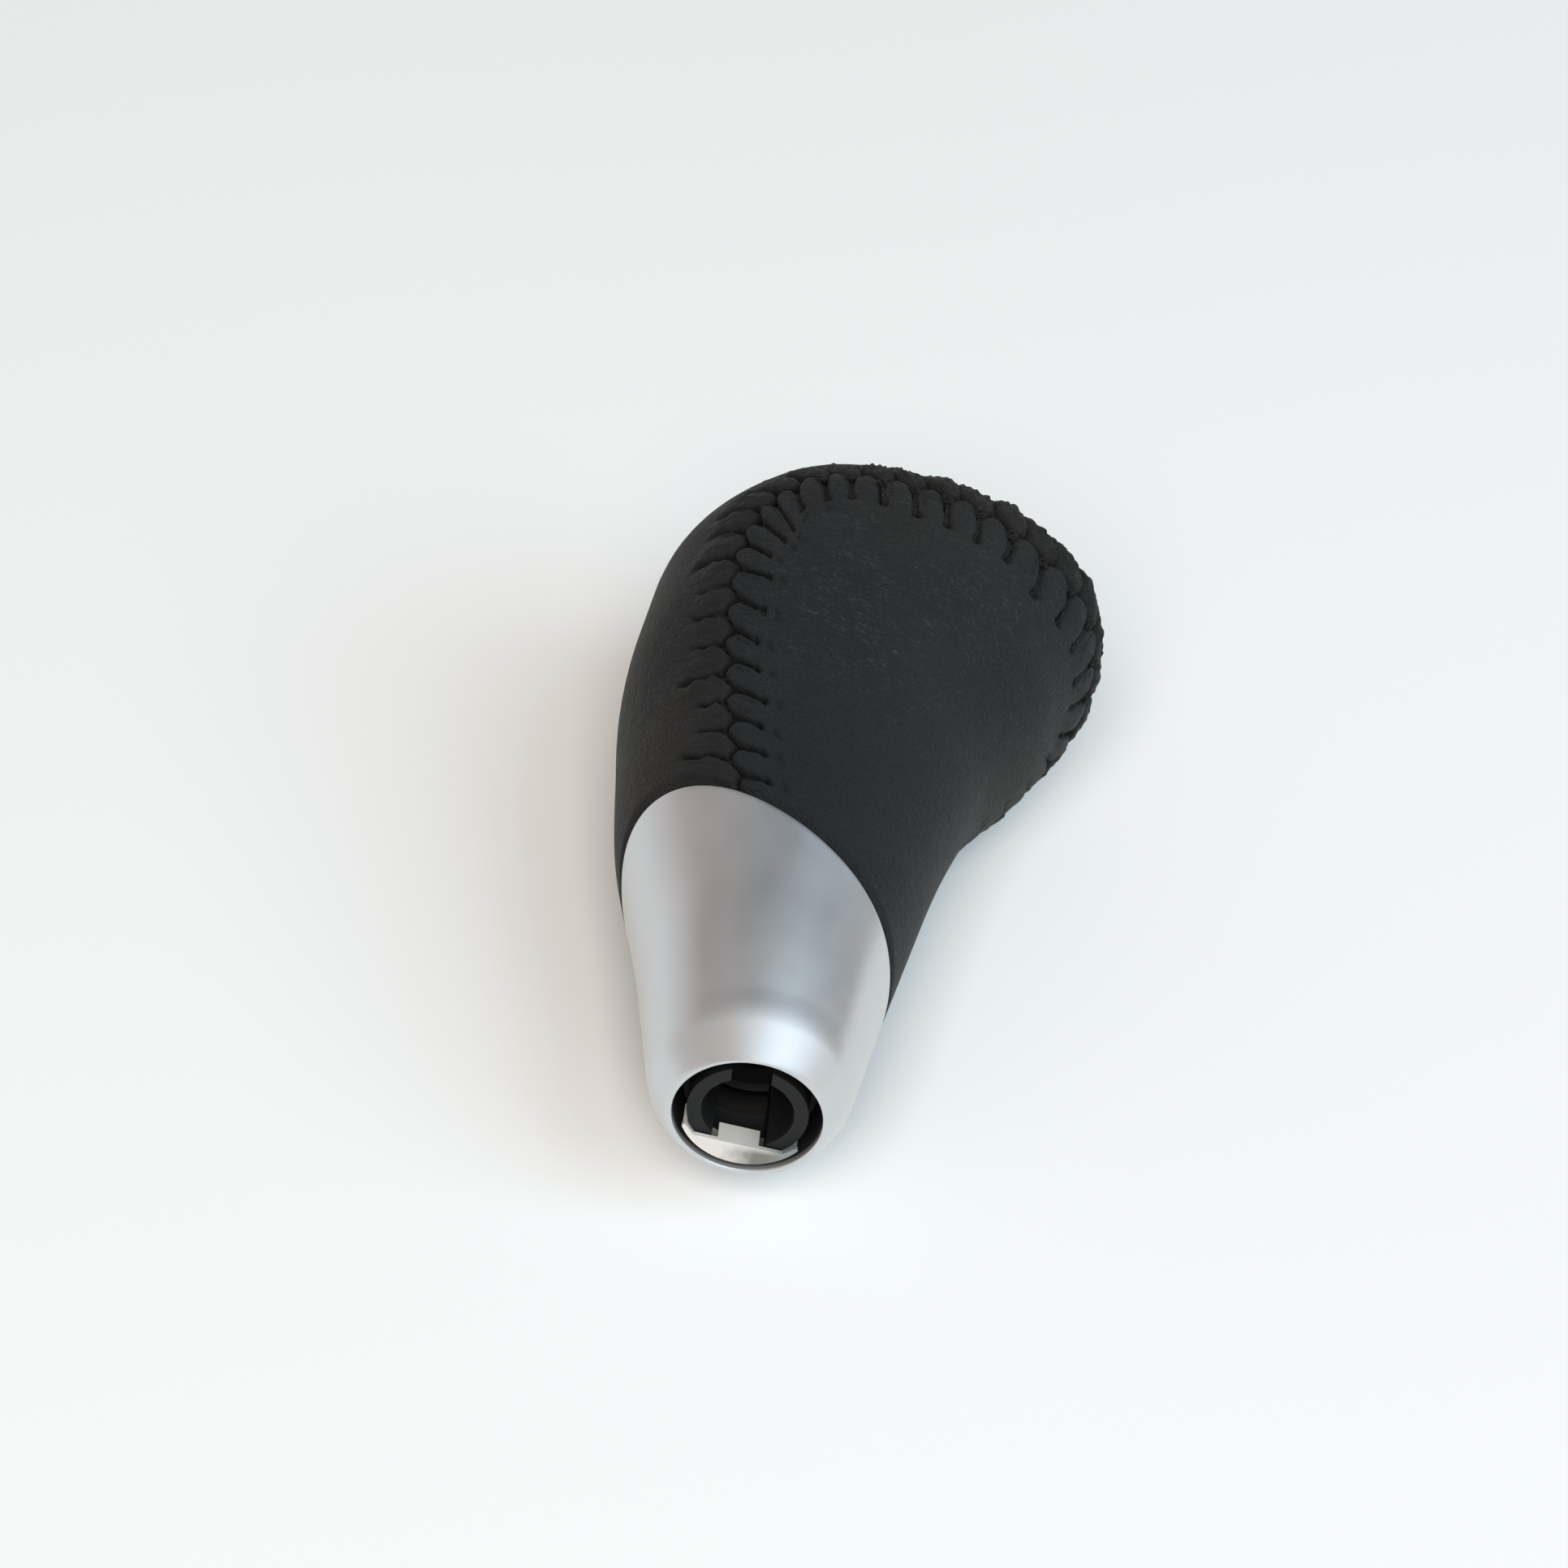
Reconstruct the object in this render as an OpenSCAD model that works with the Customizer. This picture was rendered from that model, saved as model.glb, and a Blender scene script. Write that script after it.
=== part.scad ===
// Leather gear shift knob with a satin metal collar, in millimetres
// +Z runs up the lever's axis from the mouth to the crown, -Y is the face, +X is the bulge of the head
// The origin is the centre of the mouth, in the plane of the collar's rim

/* [Grip] */
// Height from the mouth to the top of the crown
knob_h = 94; // [88:1:102]
// Height of the waist
waist_z = 36; // [33:1:39]
// Width of the waist
waist_w = 35; // [32:1:38]
// Depth of the waist, front to back
waist_d = 32; // [30:1:36]
// Height where the head is widest
head_z = 76; // [72:1:79]
// Width of the head
head_w = 52.4; // [46:0.2:58]
// Depth of the head, front to back
head_d = 43; // [39:1:48]
// How far the head leans to the right
head_right = 8.6; // [4:0.2:11]
// How far the head leans to the front
head_front = 4.9; // [1:0.1:7]

/* [Collar] */
// Outer diameter of the thin rim at the mouth
rim_d = 17; // [16.8:0.1:18]
// Diameter of the shoulder above the nose
shoulder_d = 21.6; // [20.6:0.1:22.6]
// Height of the nose, from the rim to the shoulder
nose_h = 4; // [3:0.25:5]
// Diameter of the neck, half way up the collar
neck_d = 27.6; // [26.4:0.2:29]
// Height of the neck
neck_z = 20; // [17:1:23]
// Wall of the collar
collar_wall = 1.6; // [1.2:0.1:2]
// Height of the web that closes the collar round the socket
web_z = 9; // [8:0.5:10]
// Thickness of the web
web_t = 2; // [1.5:0.25:3]
// Middle height of the slanted top edge
edge_mean = 23.4; // [21:0.2:26]
// Rise of the top edge to its high side
edge_rise = 11.7; // [8:0.1:13]

/* [Leather and padding] */
// Thickness of the leather
leather_t = 1.3; // [1:0.1:1.6]
// Thickness of the padding under the leather
foam_t = 3; // [2:0.25:4]
// Number of stitches in the seam
stitch_count = 36; // [28:2:44]
// Depth of the seam's valley
seam_depth = 0.85; // [0.5:0.05:1]
// Height of the gathers beside the seam
puff = 0.8; // [0.3:0.05:1.2]
// Thickness of the thread
thread_d = 0.7; // [0.5:0.05:0.9]

/* [Lever socket] */
// Diameter of the lever that goes in
lever_d = 9; // [8:0.1:10]
// Radial clearance of the lever in its bore
lever_fit = 0.15; // [0.1:0.05:0.3]
// Outer diameter of the socket's tube
tube_d = 14; // [13.6:0.1:14.2]
// Outer diameter of the tube's nose, which the clip surrounds
tube_nose_d = 12.8; // [12.2:0.1:13]
// How far the tube's face is set back from the rim
face_z = 0.8; // [0.5:0.1:1.2]
// Width of the key slot at the front
key_slot_w = 4.2; // [3.5:0.1:5]
// Width of the clip's slot at the back
clip_slot_w = 5.8; // [5.4:0.1:6.4]
// Depth of both slots from the mouth
slot_z = 12; // [10:0.5:14]
// Radial relief of the bore between the slots, where the lever only passes
lead_in = 0.25; // [0.2:0.05:0.4]
// Depth of the bore from the mouth
bore_z = 52; // [48:1:54]
// Diameter of the flange that the core clamps
flange_d = 18.8; // [17:0.2:20]
// Thickness of the flange
flange_t = 3; // [2:0.25:4]

/* [Retaining clip] */
// Thickness of the spring steel
clip_t = 0.45; // [0.35:0.05:0.6]
// Width of the band and its plate, along the axis
clip_w = 3.4; // [3:0.1:3.8]
// Angle that the band covers
clip_angle = 120; // [100:2:124]
// Turn of the clip and its slot from the back
clip_turn = 8; // [0:1:15]
// Width of the tongue
tongue_w = 4.4; // [3.6:0.1:4.8]
// Length of the tongue, along the axis
tongue_l = 2.6; // [2:0.1:3]
// How far the tongue reaches into the bore
tongue_catch = 0.35; // [0.2:0.05:0.5]

/* [Core] */
// Diameter of the screws' shanks
screw_d = 3; // [2.5:0.1:3.5]
// Length of the screws under the head
screw_l = 11; // [9:0.5:12]
// Diameter of the screws' heads
screw_head_d = 5.6; // [5:0.1:6.2]

/* [Hidden] */
$fn = 96;
gap = 0.15;
tiny = 0.001;
cut = 1;

bore_r = lever_d/2 + lever_fit;
tube_r = tube_d/2;
rim_wall = 0.6;
mouth_r = rim_d/2 - rim_wall;
core_z = web_z + web_t + 2*gap;
hem_gap = 2*gap;

// Section of the skin at one station: height, half width, half depth, centre right, centre back, squareness
waist_x = -0.3;
waist_front = 0.6;
function round_row(h, r) = [h, r, r, 0, 0, 2];
function grip_row(h, w, d, x, y, p) = [
    h,
    waist_w/2 + w*(head_w - waist_w)/2,
    waist_d/2 + d*(head_d - waist_d)/2,
    waist_x + x*(head_right - waist_x),
    -waist_front - y*(head_front - waist_front),
    p];
function up(share) = waist_z + share*(head_z - waist_z);
// Above the waist each row gives shares of the way from the waist's size to the head's
stations = [
    round_row(0, rim_d/2),
    round_row(nose_h/2, rim_d/2 + 0.6*(shoulder_d - rim_d)/2),
    round_row(nose_h, shoulder_d/2),
    round_row(2*nose_h, shoulder_d/2 + 0.27*(neck_d - shoulder_d)/2),
    round_row(neck_z, neck_d/2),
    grip_row(waist_z, 0, 0, 0, 0, 2.1),
    grip_row(up(0.4), 0.39, 0.36, 0.16, 0.33, 2.2),
    grip_row(up(0.7), 0.84, 0.82, 0.6, 0.72, 2.3),
    grip_row(head_z, 1, 1, 1, 1, 2.3),
    grip_row(head_z + 0.56*(knob_h - head_z), 0.13, 0.27, 0.7, 1.1, 2.2),
    [knob_h, 0, 0, waist_x, -head_front - 0.5, 2]];

// Smooth curves through the stations, with the half sizes squared so that the crown closes round
rows = [for (s = stations) [s[0], s[1]*s[1], s[2]*s[2], s[3], s[4], s[5]]];
last = len(rows) - 1;
function rate(k, c) = (rows[k + 1][c] - rows[k][c])/(rows[k + 1][0] - rows[k][0]);
function slope(k, c) =
    k == 0 ? rate(0, c) :
    k == last ? rate(last - 1, c) :
    let (a = rate(k - 1, c), b = rate(k, c))
    a*b <= 0 ? 0 : 2*a*b/(a + b);
slopes = [for (k = [0:last]) [for (c = [0:5]) slope(k, c)]];
function span(z) = max([for (k = [0:last - 1]) z >= rows[k][0] ? k : 0]);
function section(z) =
    let (k = span(z), h = rows[k + 1][0] - rows[k][0], t = (z - rows[k][0])/h,
        t2 = t*t, t3 = t2*t)
    (2*t3 - 3*t2 + 1)*rows[k] + (t3 - 2*t2 + t)*h*slopes[k]
        + (3*t2 - 2*t3)*rows[k + 1] + (t3 - t2)*h*slopes[k + 1];

// The crown is a dome above dome_z, and the layers under the skin are scaled about its centre
dome_z = up(0.8);
dome_h = knob_h - dome_z;
dome = section(dome_z);
dome_a = sqrt(dome[1]);
dome_b = sqrt(dome[2]);
// Point of the skin at azimuth f (0 at the front, 90 at the right) and height z, sunk by t
function skin(f, z, t = 0) =
    let (s = section(min(z, knob_h)), a0 = sqrt(max(s[1], 0)), b0 = sqrt(max(s[2], 0)),
        top = z > dome_z,
        a = top ? a0*(1 - t/dome_a) : a0 - t,
        b = top ? b0*(1 - t/dome_b) : b0 - t,
        h = top ? dome_z + (z - dome_z)*(1 - t/dome_h) : z,
        p = s[5],
        u = abs(sin(f))/max(a, tiny), v = abs(cos(f))/max(b, tiny),
        r = pow(pow(u, p) + pow(v, p), -1/p))
    [s[3] + r*sin(f), s[4] - r*cos(f), h];

// Slanted top edge of the collar, which the leather meets
edge_side = -34;
edge_sag = 2.2;
edge_sag_side = 14;
function edge_z(f) =
    edge_mean + edge_rise*cos(f - edge_side) - edge_sag*cos(2*(f - edge_sag_side));
function hem_z(f) = edge_z(f) + hem_gap;

// Map of the grip above the hem: azimuth and level, where the level runs from -leg at the hem
// over 0 at the dome's foot to 1 at the top of the crown
leg = 1.7;
function level_z(f, w) = w > 0 ? dome_z + dome_h*w : dome_z + w/leg*(dome_z - hem_z(f));
function globe(m) =
    let (r = m[1] > 0 ? sqrt(max(0, 1 - m[1]*m[1])) : 1)
    [r*sin(m[0]), -r*cos(m[0]), m[1]];
function unglobe(q) =
    q.z > 0 ? [atan2(q.x, -q.y), q.z/norm(q)] : [atan2(q.x, -q.y), q.z];
function mapped(q, t = 0) = let (m = unglobe(q)) skin(m[0], level_z(m[0], m[1]), t);

// The seam's path on that map, from the hem on the left, over the crown, to the hem on the right
seam_path = [[-18, -leg], [-26, -1.15], [-35, -0.42], [-40, 0.04], [-35, 0.31], [-20, 0.43],
    [0, 0.4], [22, 0.33], [45, 0.22], [70, 0.19], [92, 0.15], [108, -0.03], [121, -0.4],
    [125, -0.87], [126, -leg]];
function along(path, t) =
    let (n = len(path) - 1, k = min(floor(t*n), n - 1), u = t*n - k,
        p1 = path[k], p2 = path[k + 1],
        p0 = k > 0 ? path[k - 1] : 2*p1 - p2,
        p3 = k < n - 1 ? path[k + 2] : 2*p2 - p1)
    0.5*(2*p1 + (p2 - p0)*u + (2*p0 - 5*p1 + 4*p2 - p3)*u*u + (3*p1 - p0 - 3*p2 + p3)*u*u*u);
function seam_map(t) = let (m = along(seam_path, t)) [m[0], max(m[1], -leg)];

// Places at equal lengths along the seam, four to a stitch
samples = 280;
seam_points = [for (i = [0:samples]) mapped(globe(seam_map(i/samples)))];
function lengths(i = 0, total = 0) =
    i > samples ? [] :
    let (step = i == 0 ? 0 : norm(seam_points[i] - seam_points[i - 1]))
    concat([total + step], lengths(i + 1, total + step));
run = lengths();
seam_length = run[samples];
pitch = seam_length/stitch_count;
function seam_at(l) =
    let (k = min(samples - 1, max([for (i = [0:samples]) run[i] <= l ? i : 0])))
    seam_map((k + (l - run[k])/(run[k + 1] - run[k]))/samples);
per_stitch = 4;
columns = stitch_count*per_stitch;
seam = [for (i = [0:columns]) seam_at(i/columns*seam_length)];

// A panel runs from the seam to its own spine, a line up the middle that ends in a fan
face_spine = 36;
rear_spine = face_spine + 180;
face_fan = -0.35;
rear_fan = 0.55;
rear_climb = 1.35;
function spine_w(i, n, step, fan, climb) =
    min(climb*((seam[i*step][1] + seam[(n - i)*step][1])/2 + leg) - leg, fan);
function angle_between(a, b) =
    let (u = [a.x, a.y, max(a.z, 0)], v = [b.x, b.y, max(b.z, 0)])
    acos(min(1, max(-1, u*v/norm(u)/norm(v))));
function between(a, b, t, turn) =
    turn < 5 ? a + (b - a)*t : a + (b - a)*(0.5 + tan((t - 0.5)*turn)/(2*tan(turn/2)));

// Gathers: pillows between the stitches, creases at them and the valley of the seam
face_reach = 4.3;
rear_reach = 5.6;
face_rise = 0.6*puff;
crease_depth = 0.35;
crease_fade = 1.2;
valley_w = 0.9;
pillow_foot = 0.6;
pillow_over = 1;
function gather(l, d, rear) =
    let (reach = rear ? rear_reach : face_reach,
        beat = abs(sin(180*(l/pitch + (rear ? 0.5 : 0)))),
        rise = rear ? puff : face_rise,
        s = (d - pillow_foot)/(reach + pillow_over - pillow_foot),
        hump = s > 0 && s < 1 ? sin(180*s) : 0,
        fade = exp(-pow(max(0, d - reach)/crease_fade, 2)))
    rise*hump*sqrt(beat) - crease_depth*pow(1 - beat, 3)*fade
        - seam_depth*exp(-pow(d/valley_w, 2));

probe = 4;
least_slant = 0.6;
// One layer of a panel as a closed solid: every step-th column, near rows at set distances, then even ones
module panel(rear, outer, inner, step, near, far, gathered) {
    n = columns/step;
    rows_n = len(near) + far - 1;
    fan = rear ? rear_fan : face_fan;
    climb = rear ? rear_climb : 1;
    middle = rear ? rear_spine : face_spine;
    starts = [for (i = [0:n]) globe(seam[i*step])];
    ends = [for (i = [0:n]) globe([middle, spine_w(min(i, n - i), n, step, fan, climb)])];
    turns = [for (i = [0:n]) angle_between(starts[i], ends[i])];
    spans = [for (i = [0:n])
        let (m = between(starts[i], ends[i], 0.5, turns[i]))
        norm(mapped(starts[i]) - mapped(m)) + norm(mapped(m) - mapped(ends[i]))];
    // Millimetres square to the seam per share of the way, measured close to the seam
    rates = [for (i = [0:n])
        let (e = probe/spans[i],
            across = mapped(between(starts[i], ends[i], e, turns[i])) - mapped(starts[i]),
            tangent = mapped(starts[min(i + 1, n)]) - mapped(starts[max(i - 1, 0)]))
        max(norm(cross(across, tangent))/norm(tangent), least_slant*norm(across))/e];
    knee = [for (i = [0:floor(n/2)]) if (spine_w(i, n, step, fan, climb) >= fan) i][0];
    near_last = len(near) - 1;
    function share(i, j) =
        let (k = near[near_last]/rates[i])
        j <= near_last ? near[j]/rates[i] : k + (1 - k)*(j - near_last)/far;
    function place(i, j, t) =
        let (u = share(i, j), q = between(starts[i], ends[i], u, turns[i]),
            hem = i == 0 || i == n,
            l = i*step/columns*seam_length,
            lift = gathered && !hem ? gather(l, u*rates[i], rear) : 0)
        mapped(q, t - lift + (gathered && hem ? 2*gap : 0));
    function spine(i) = min(i, n - i, knee);
    function id(side, i, j) =
        side*(rows_n*(n + 1) + knee + 1) + (j < rows_n ? j*(n + 1) + i : rows_n*(n + 1) + spine(i));
    function side_points(side) = concat(
        [for (j = [0:rows_n - 1]) for (i = [0:n]) side == 0
            ? place(i, j, outer)
            : mapped(between(starts[i], ends[i], share(i, j), turns[i]), inner)],
        [for (i = [0:knee]) mapped(ends[i], side == 0 ? outer : inner)]);
    points = concat(side_points(0), side_points(1));
    quads = concat(
        [for (j = [0:rows_n - 1]) for (i = [0:n - 1])
            [id(0, i, j), id(0, i + 1, j), id(0, i + 1, j + 1), id(0, i, j + 1)]],
        [for (j = [0:rows_n - 1]) for (i = [0:n - 1])
            [id(1, i, j + 1), id(1, i + 1, j + 1), id(1, i + 1, j), id(1, i, j)]],
        [for (i = [0:n - 1]) [id(0, i + 1, 0), id(0, i, 0), id(1, i, 0), id(1, i + 1, 0)]],
        [for (j = [0:rows_n - 1]) [id(0, 0, j), id(0, 0, j + 1), id(1, 0, j + 1), id(1, 0, j)]],
        [for (j = [0:rows_n - 1]) [id(0, n, j + 1), id(0, n, j), id(1, n, j), id(1, n, j + 1)]]);
    triangles = [for (q = quads) each [[q[0], q[1], q[2]], [q[0], q[2], q[3]]]];
    solid = [for (f = triangles) if (f[0] != f[1] && f[1] != f[2] && f[0] != f[2])
        rear ? [f[2], f[1], f[0]] : f];
    polyhedron(points, solid);
}

// Closed solid through a stack of rings with equally many points, capped flat at both ends
module stack(rings) {
    m = len(rings[0]);
    k = len(rings);
    points = [for (r = rings) each r];
    walls = [for (j = [0:k - 2]) for (i = [0:m - 1])
        let (a = j*m + i, b = j*m + (i + 1)%m)
        each [[a, a + m, b], [b, a + m, b + m]]];
    polyhedron(points, concat([[for (i = [0:m - 1]) i]], walls,
        [[for (i = [m - 1:-1:0]) (k - 1)*m + i]]));
}

module tube_ring(outer_r, inner_r, z, h) {
    translate([0, 0, z]) difference() {
        cylinder(r = outer_r, h = h);
        translate([0, 0, -cut]) cylinder(r = inner_r, h = h + 2*cut);
    }
}

// Satin metal sleeve: outer skin, slanted edge, cavity above the web, round mouth below it
collar_steps = 60;
nose_levels = [0, 0.25, 0.5, 0.75, 1, 1.4, 2];
edge_levels = [0.15, 0.35, 0.55, 0.75, 0.9];
edge_round = 0.3;
module collar() {
    turn = [for (i = [0:collar_steps - 1]) 360*i/collar_steps];
    nose = [for (s = nose_levels) [for (f = turn) skin(f, s*nose_h)]];
    wall = [for (s = edge_levels)
        [for (f = turn) skin(f, 2*nose_h + s*(edge_z(f) - 2*nose_h))]];
    lip = [[for (f = turn) skin(f, edge_z(f) - edge_round)],
        [for (f = turn) skin(f, edge_z(f), edge_round)],
        [for (f = turn) skin(f, edge_z(f), collar_wall)]];
    floor_z = web_z + web_t;
    inside = [for (s = [0.7, 0.35, 0])
        [for (f = turn) skin(f, floor_z + s*(edge_z(f) - floor_z), collar_wall)]];
    color("silver") difference() {
        stack(concat(nose, wall, lip, inside));
        translate([0, 0, -cut]) cylinder(r = tube_r + gap, h = floor_z + 2*cut);
        translate([0, 0, -cut]) cylinder(r = mouth_r, h = web_z + cut);
    }
}

// Snap ring in the tube's groove, under the web
ring_t = 0.8;
ring_reach = 0.8;
groove_depth = 0.5;
ring_gap_w = 5;
module collar_ring() {
    z = web_z - ring_t - gap/3;
    color("dimgray") difference() {
        tube_ring(tube_r + ring_reach, tube_r - groove_depth + gap/3, z, ring_t);
        translate([-ring_gap_w/2, -rim_d, z - cut]) cube([ring_gap_w, rim_d, ring_t + 2*cut]);
    }
}

// Moulded tube with a blind bore, two slots, a clip seat, a groove and the flange
flange_z = waist_z - 1;
socket_end = 2;
clip_room = 0.4;
damper_t = 3;
damper_seat = 0.5;
damper_r = bore_r + damper_seat;
clip_play = 0.25;
clip_r = tube_nose_d/2 + clip_play;
clip_z = (face_z - clip_t)/2;
tongue_y = bore_r - tongue_catch;
module lever_socket() {
    nose_z = clip_z + clip_w + clip_room;
    ring_z = web_z - ring_t - gap;
    color("#202124") difference() {
        union() {
            translate([0, 0, face_z]) cylinder(d = tube_nose_d, h = nose_z - face_z);
            translate([0, 0, nose_z]) cylinder(r = tube_r, h = bore_z + socket_end - nose_z);
            translate([0, 0, flange_z]) cylinder(d = flange_d, h = flange_t);
        }
        cylinder(r = bore_r, h = bore_z - damper_t);
        cylinder(r = bore_r + lead_in, h = slot_z);
        translate([0, 0, bore_z - damper_t]) cylinder(r = damper_r + gap/3, h = damper_t);
        tube_ring(tube_r + cut, tube_r - groove_depth, ring_z, ring_t + 2*gap);
        translate([-key_slot_w/2, -tube_r - cut, 0]) cube([key_slot_w, tube_r + cut, slot_z]);
        rotate([0, 0, clip_turn]) translate([-clip_slot_w/2, 0, 0])
            cube([clip_slot_w, tube_r + cut, slot_z]);
    }
}

// Spring-steel clip: a band round the tube's nose, a plate with pointed ears in front of
// the tube's face, and a tongue bent into the back slot
ear_tip = [6, 3];
ear_root = 4.8;
module retaining_clip() {
    reach = clip_r + clip_t;
    half = [[ear_root, tongue_y], ear_tip, [2*reach, 2*reach]];
    color("gainsboro") rotate([0, 0, clip_turn]) union() {
        difference() {
            tube_ring(reach, clip_r, clip_z, clip_w);
            for (side = [-1, 1])
                translate([0, 0, clip_z - cut]) rotate([0, 0, side*(90 - clip_angle/2)])
                    translate([-2*rim_d, -2*rim_d, 0])
                        cube([4*rim_d, 2*rim_d, clip_w + 2*cut]);
        }
        translate([0, 0, clip_z]) linear_extrude(clip_t) intersection() {
            circle(r = reach);
            polygon(concat(half, [for (i = [2:-1:0]) [-half[i][0], half[i][1]]]));
        }
        translate([-tongue_w/2, tongue_y, clip_z]) cube([tongue_w, clip_t, tongue_l]);
    }
}

// Rubber pad in a wider seat at the blind end of the bore
module bore_damper() {
    color("#151515") difference() {
        translate([0, 0, bore_z - damper_t + gap/3]) cylinder(r = damper_r, h = damper_t - 2*gap/3);
        translate([0, 0, bore_z - damper_t - cut]) cylinder(r = bore_r/2, h = 2*cut);
    }
}

// Padding grows from foam_foot at the hem to foam_t, and the core fills what is left
foam_foot = 0.8;
foam_grow = 0.6;
under_leather = leather_t + 2*gap;
function pad_t(w) = foam_foot + (foam_t - foam_foot)*min(1, (w + leg)/foam_grow);

core_steps = 32;
core_levels = [-1.35, -1.05, -0.7, -0.4, -0.15, 0.1, 0.3, 0.5, 0.68, 0.83, 0.94, 0.99];
screw_places = [[-10.2, 46], [10.4, 46], [head_right - 2, 70]];
screw_head_h = 2;
split_y = 0;
head_seat_y = -screw_l/2;

// Outside of the core, sunk by t below the padding's inner face
module core_shape(t) {
    turn = [for (i = [0:core_steps - 1]) 360*i/core_steps];
    foot = [for (s = [0, 0.5, 1])
        [for (f = turn) skin(f, core_z + s*(hem_z(f) - core_z), under_leather + foam_foot + t)]];
    body = [for (w = core_levels)
        [for (f = turn) skin(f, level_z(f, w), under_leather + pad_t(w) + t)]];
    stack(concat(foot, body));
}
module core_body() {
    difference() {
        core_shape(gap);
        translate([0, 0, core_z - cut])
            cylinder(r = tube_r + gap/2, h = bore_z + socket_end + gap - core_z + cut);
        translate([0, 0, flange_z - gap/2]) cylinder(d = flange_d + gap, h = flange_t + gap);
        for (s = screw_places) translate([s[0], head_seat_y, s[1]]) rotate([-90, 0, 0]) {
            cylinder(d = screw_d + gap, h = screw_l + 2*gap);
            translate([0, 0, -knob_h/2]) cylinder(d = screw_head_d + 2*gap, h = knob_h/2);
        }
    }
}
module core_front_half() {
    color("#2b2f33") intersection() {
        core_body();
        translate([-knob_h, split_y - gap/2 - 2*knob_h, 0]) cube([2*knob_h, 2*knob_h, 2*knob_h]);
    }
}
module core_rear_half() {
    color("#34383c") intersection() {
        core_body();
        translate([-knob_h, split_y + gap/2, 0]) cube([2*knob_h, 2*knob_h, 2*knob_h]);
    }
}

// Self-tapping screws that pull the two halves together
recess_d = 2.6;
module core_screws() {
    color("silver") for (s = screw_places) translate([s[0], head_seat_y - gap/3, s[1]])
        rotate([-90, 0, 0]) difference() {
            union() {
                cylinder(d = screw_d, h = screw_l);
                translate([0, 0, -screw_head_h]) cylinder(d = screw_head_d, h = screw_head_h);
            }
            translate([0, 0, -screw_head_h - cut]) cylinder(d = recess_d, h = cut + screw_head_h/2);
        }
}

// Each pad follows its leather panel outside and the core inside
pad_near = [0.4, 3, 8];
pad_step = 4;
module pad(rear, far) {
    color("khaki") difference() {
        panel(rear, under_leather, under_leather + foam_t + cut, pad_step, pad_near, far, false);
        core_shape(0);
    }
}
module foam_face_pad() {
    pad(false, 4);
}
module foam_rear_pad() {
    pad(true, 7);
}

leather_near = [0.15, 0.7, 1.5, 2.6, 3.9, 5.3, 7];
module leather_face_panel() {
    color("#26282c") panel(false, 0, leather_t, 1, leather_near, 4, true);
}
module leather_rear_panel() {
    color("#222327") panel(true, 0, leather_t, 1, leather_near, 10, true);
}

// Lacing thread that weaves from side to side in the valley of the seam
thread_sides = 5;
thread_step = 2;
thread_weave = 0.15;
module seam_thread() {
    at = [for (i = [1:thread_step:columns - 1]) i];
    sunk = seam_depth - thread_d/2 - gap;
    centre = [for (i = at) mapped(globe(seam[i]), sunk)];
    n = len(centre) - 1;
    rings = [for (k = [0:n])
        let (ahead = centre[min(k + 1, n)] - centre[max(k - 1, 0)],
            t = ahead/norm(ahead),
            out0 = centre[k] - mapped(globe(seam[at[k]]), sunk + 1),
            side0 = cross(t, out0), side = side0/norm(side0), out = cross(side, t),
            c = centre[k] + side*thread_weave*sin(180*at[k]/per_stitch))
        [for (a = [0:thread_sides - 1])
            c + thread_d/2*(side*cos(360*a/thread_sides) - out*sin(360*a/thread_sides))]];
    color("#17181a") stack(rings);
}

collar();
collar_ring();
lever_socket();
retaining_clip();
bore_damper();
core_front_half();
core_rear_half();
core_screws();
foam_face_pad();
foam_rear_pad();
leather_face_panel();
leather_rear_panel();
seam_thread();
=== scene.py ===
# Leather gear shift knob: leather panels, lacing, metal collar, socket and clip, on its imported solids
# Lengths in the shape formulas are millimetres, as in the solids; meshes are made in metres
import math

import bmesh
import bpy
import numpy as np
from bpy.props import FloatProperty, FloatVectorProperty, IntProperty, PointerProperty
from bpy.types import Operator, Panel, PropertyGroup
from mathutils import Matrix, Vector


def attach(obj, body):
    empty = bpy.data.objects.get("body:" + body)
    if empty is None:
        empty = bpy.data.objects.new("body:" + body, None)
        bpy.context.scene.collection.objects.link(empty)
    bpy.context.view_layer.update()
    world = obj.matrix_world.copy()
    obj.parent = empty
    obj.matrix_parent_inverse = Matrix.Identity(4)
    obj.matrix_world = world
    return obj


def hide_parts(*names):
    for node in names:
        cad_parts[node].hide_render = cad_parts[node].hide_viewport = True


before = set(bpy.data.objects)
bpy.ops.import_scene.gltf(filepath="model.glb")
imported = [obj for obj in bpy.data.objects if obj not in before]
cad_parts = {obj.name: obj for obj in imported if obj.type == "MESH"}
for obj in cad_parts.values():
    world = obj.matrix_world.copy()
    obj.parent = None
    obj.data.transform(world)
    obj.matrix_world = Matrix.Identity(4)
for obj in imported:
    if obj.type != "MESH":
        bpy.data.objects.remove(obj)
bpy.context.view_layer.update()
KNOB = "knob"
MM = 0.001

bl_info = {
    "name": "Leather Gear Knob",
    "version": (1, 0, 0),
    "blender": (4, 5, 0),
    "location": "3D View > Sidebar > Gear Knob",
    "description": "Leather panels, lacing, metal and stage of a gear shift knob",
    "category": "Object",
}


def length(name, text, default):
    return FloatProperty(name=name, description=text, default=default * MM, unit="LENGTH")


def colour(name, text, default):
    return FloatVectorProperty(name=name, description=text, default=default, size=3, min=0, max=1,
                               subtype="COLOR")


def share(name, text, default):
    return FloatProperty(name=name, description=text, default=default, min=0, max=1, subtype="FACTOR")


def watts(name, text, default):
    return FloatProperty(name=name, description=text + ", in watts", default=default, min=0)


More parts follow.
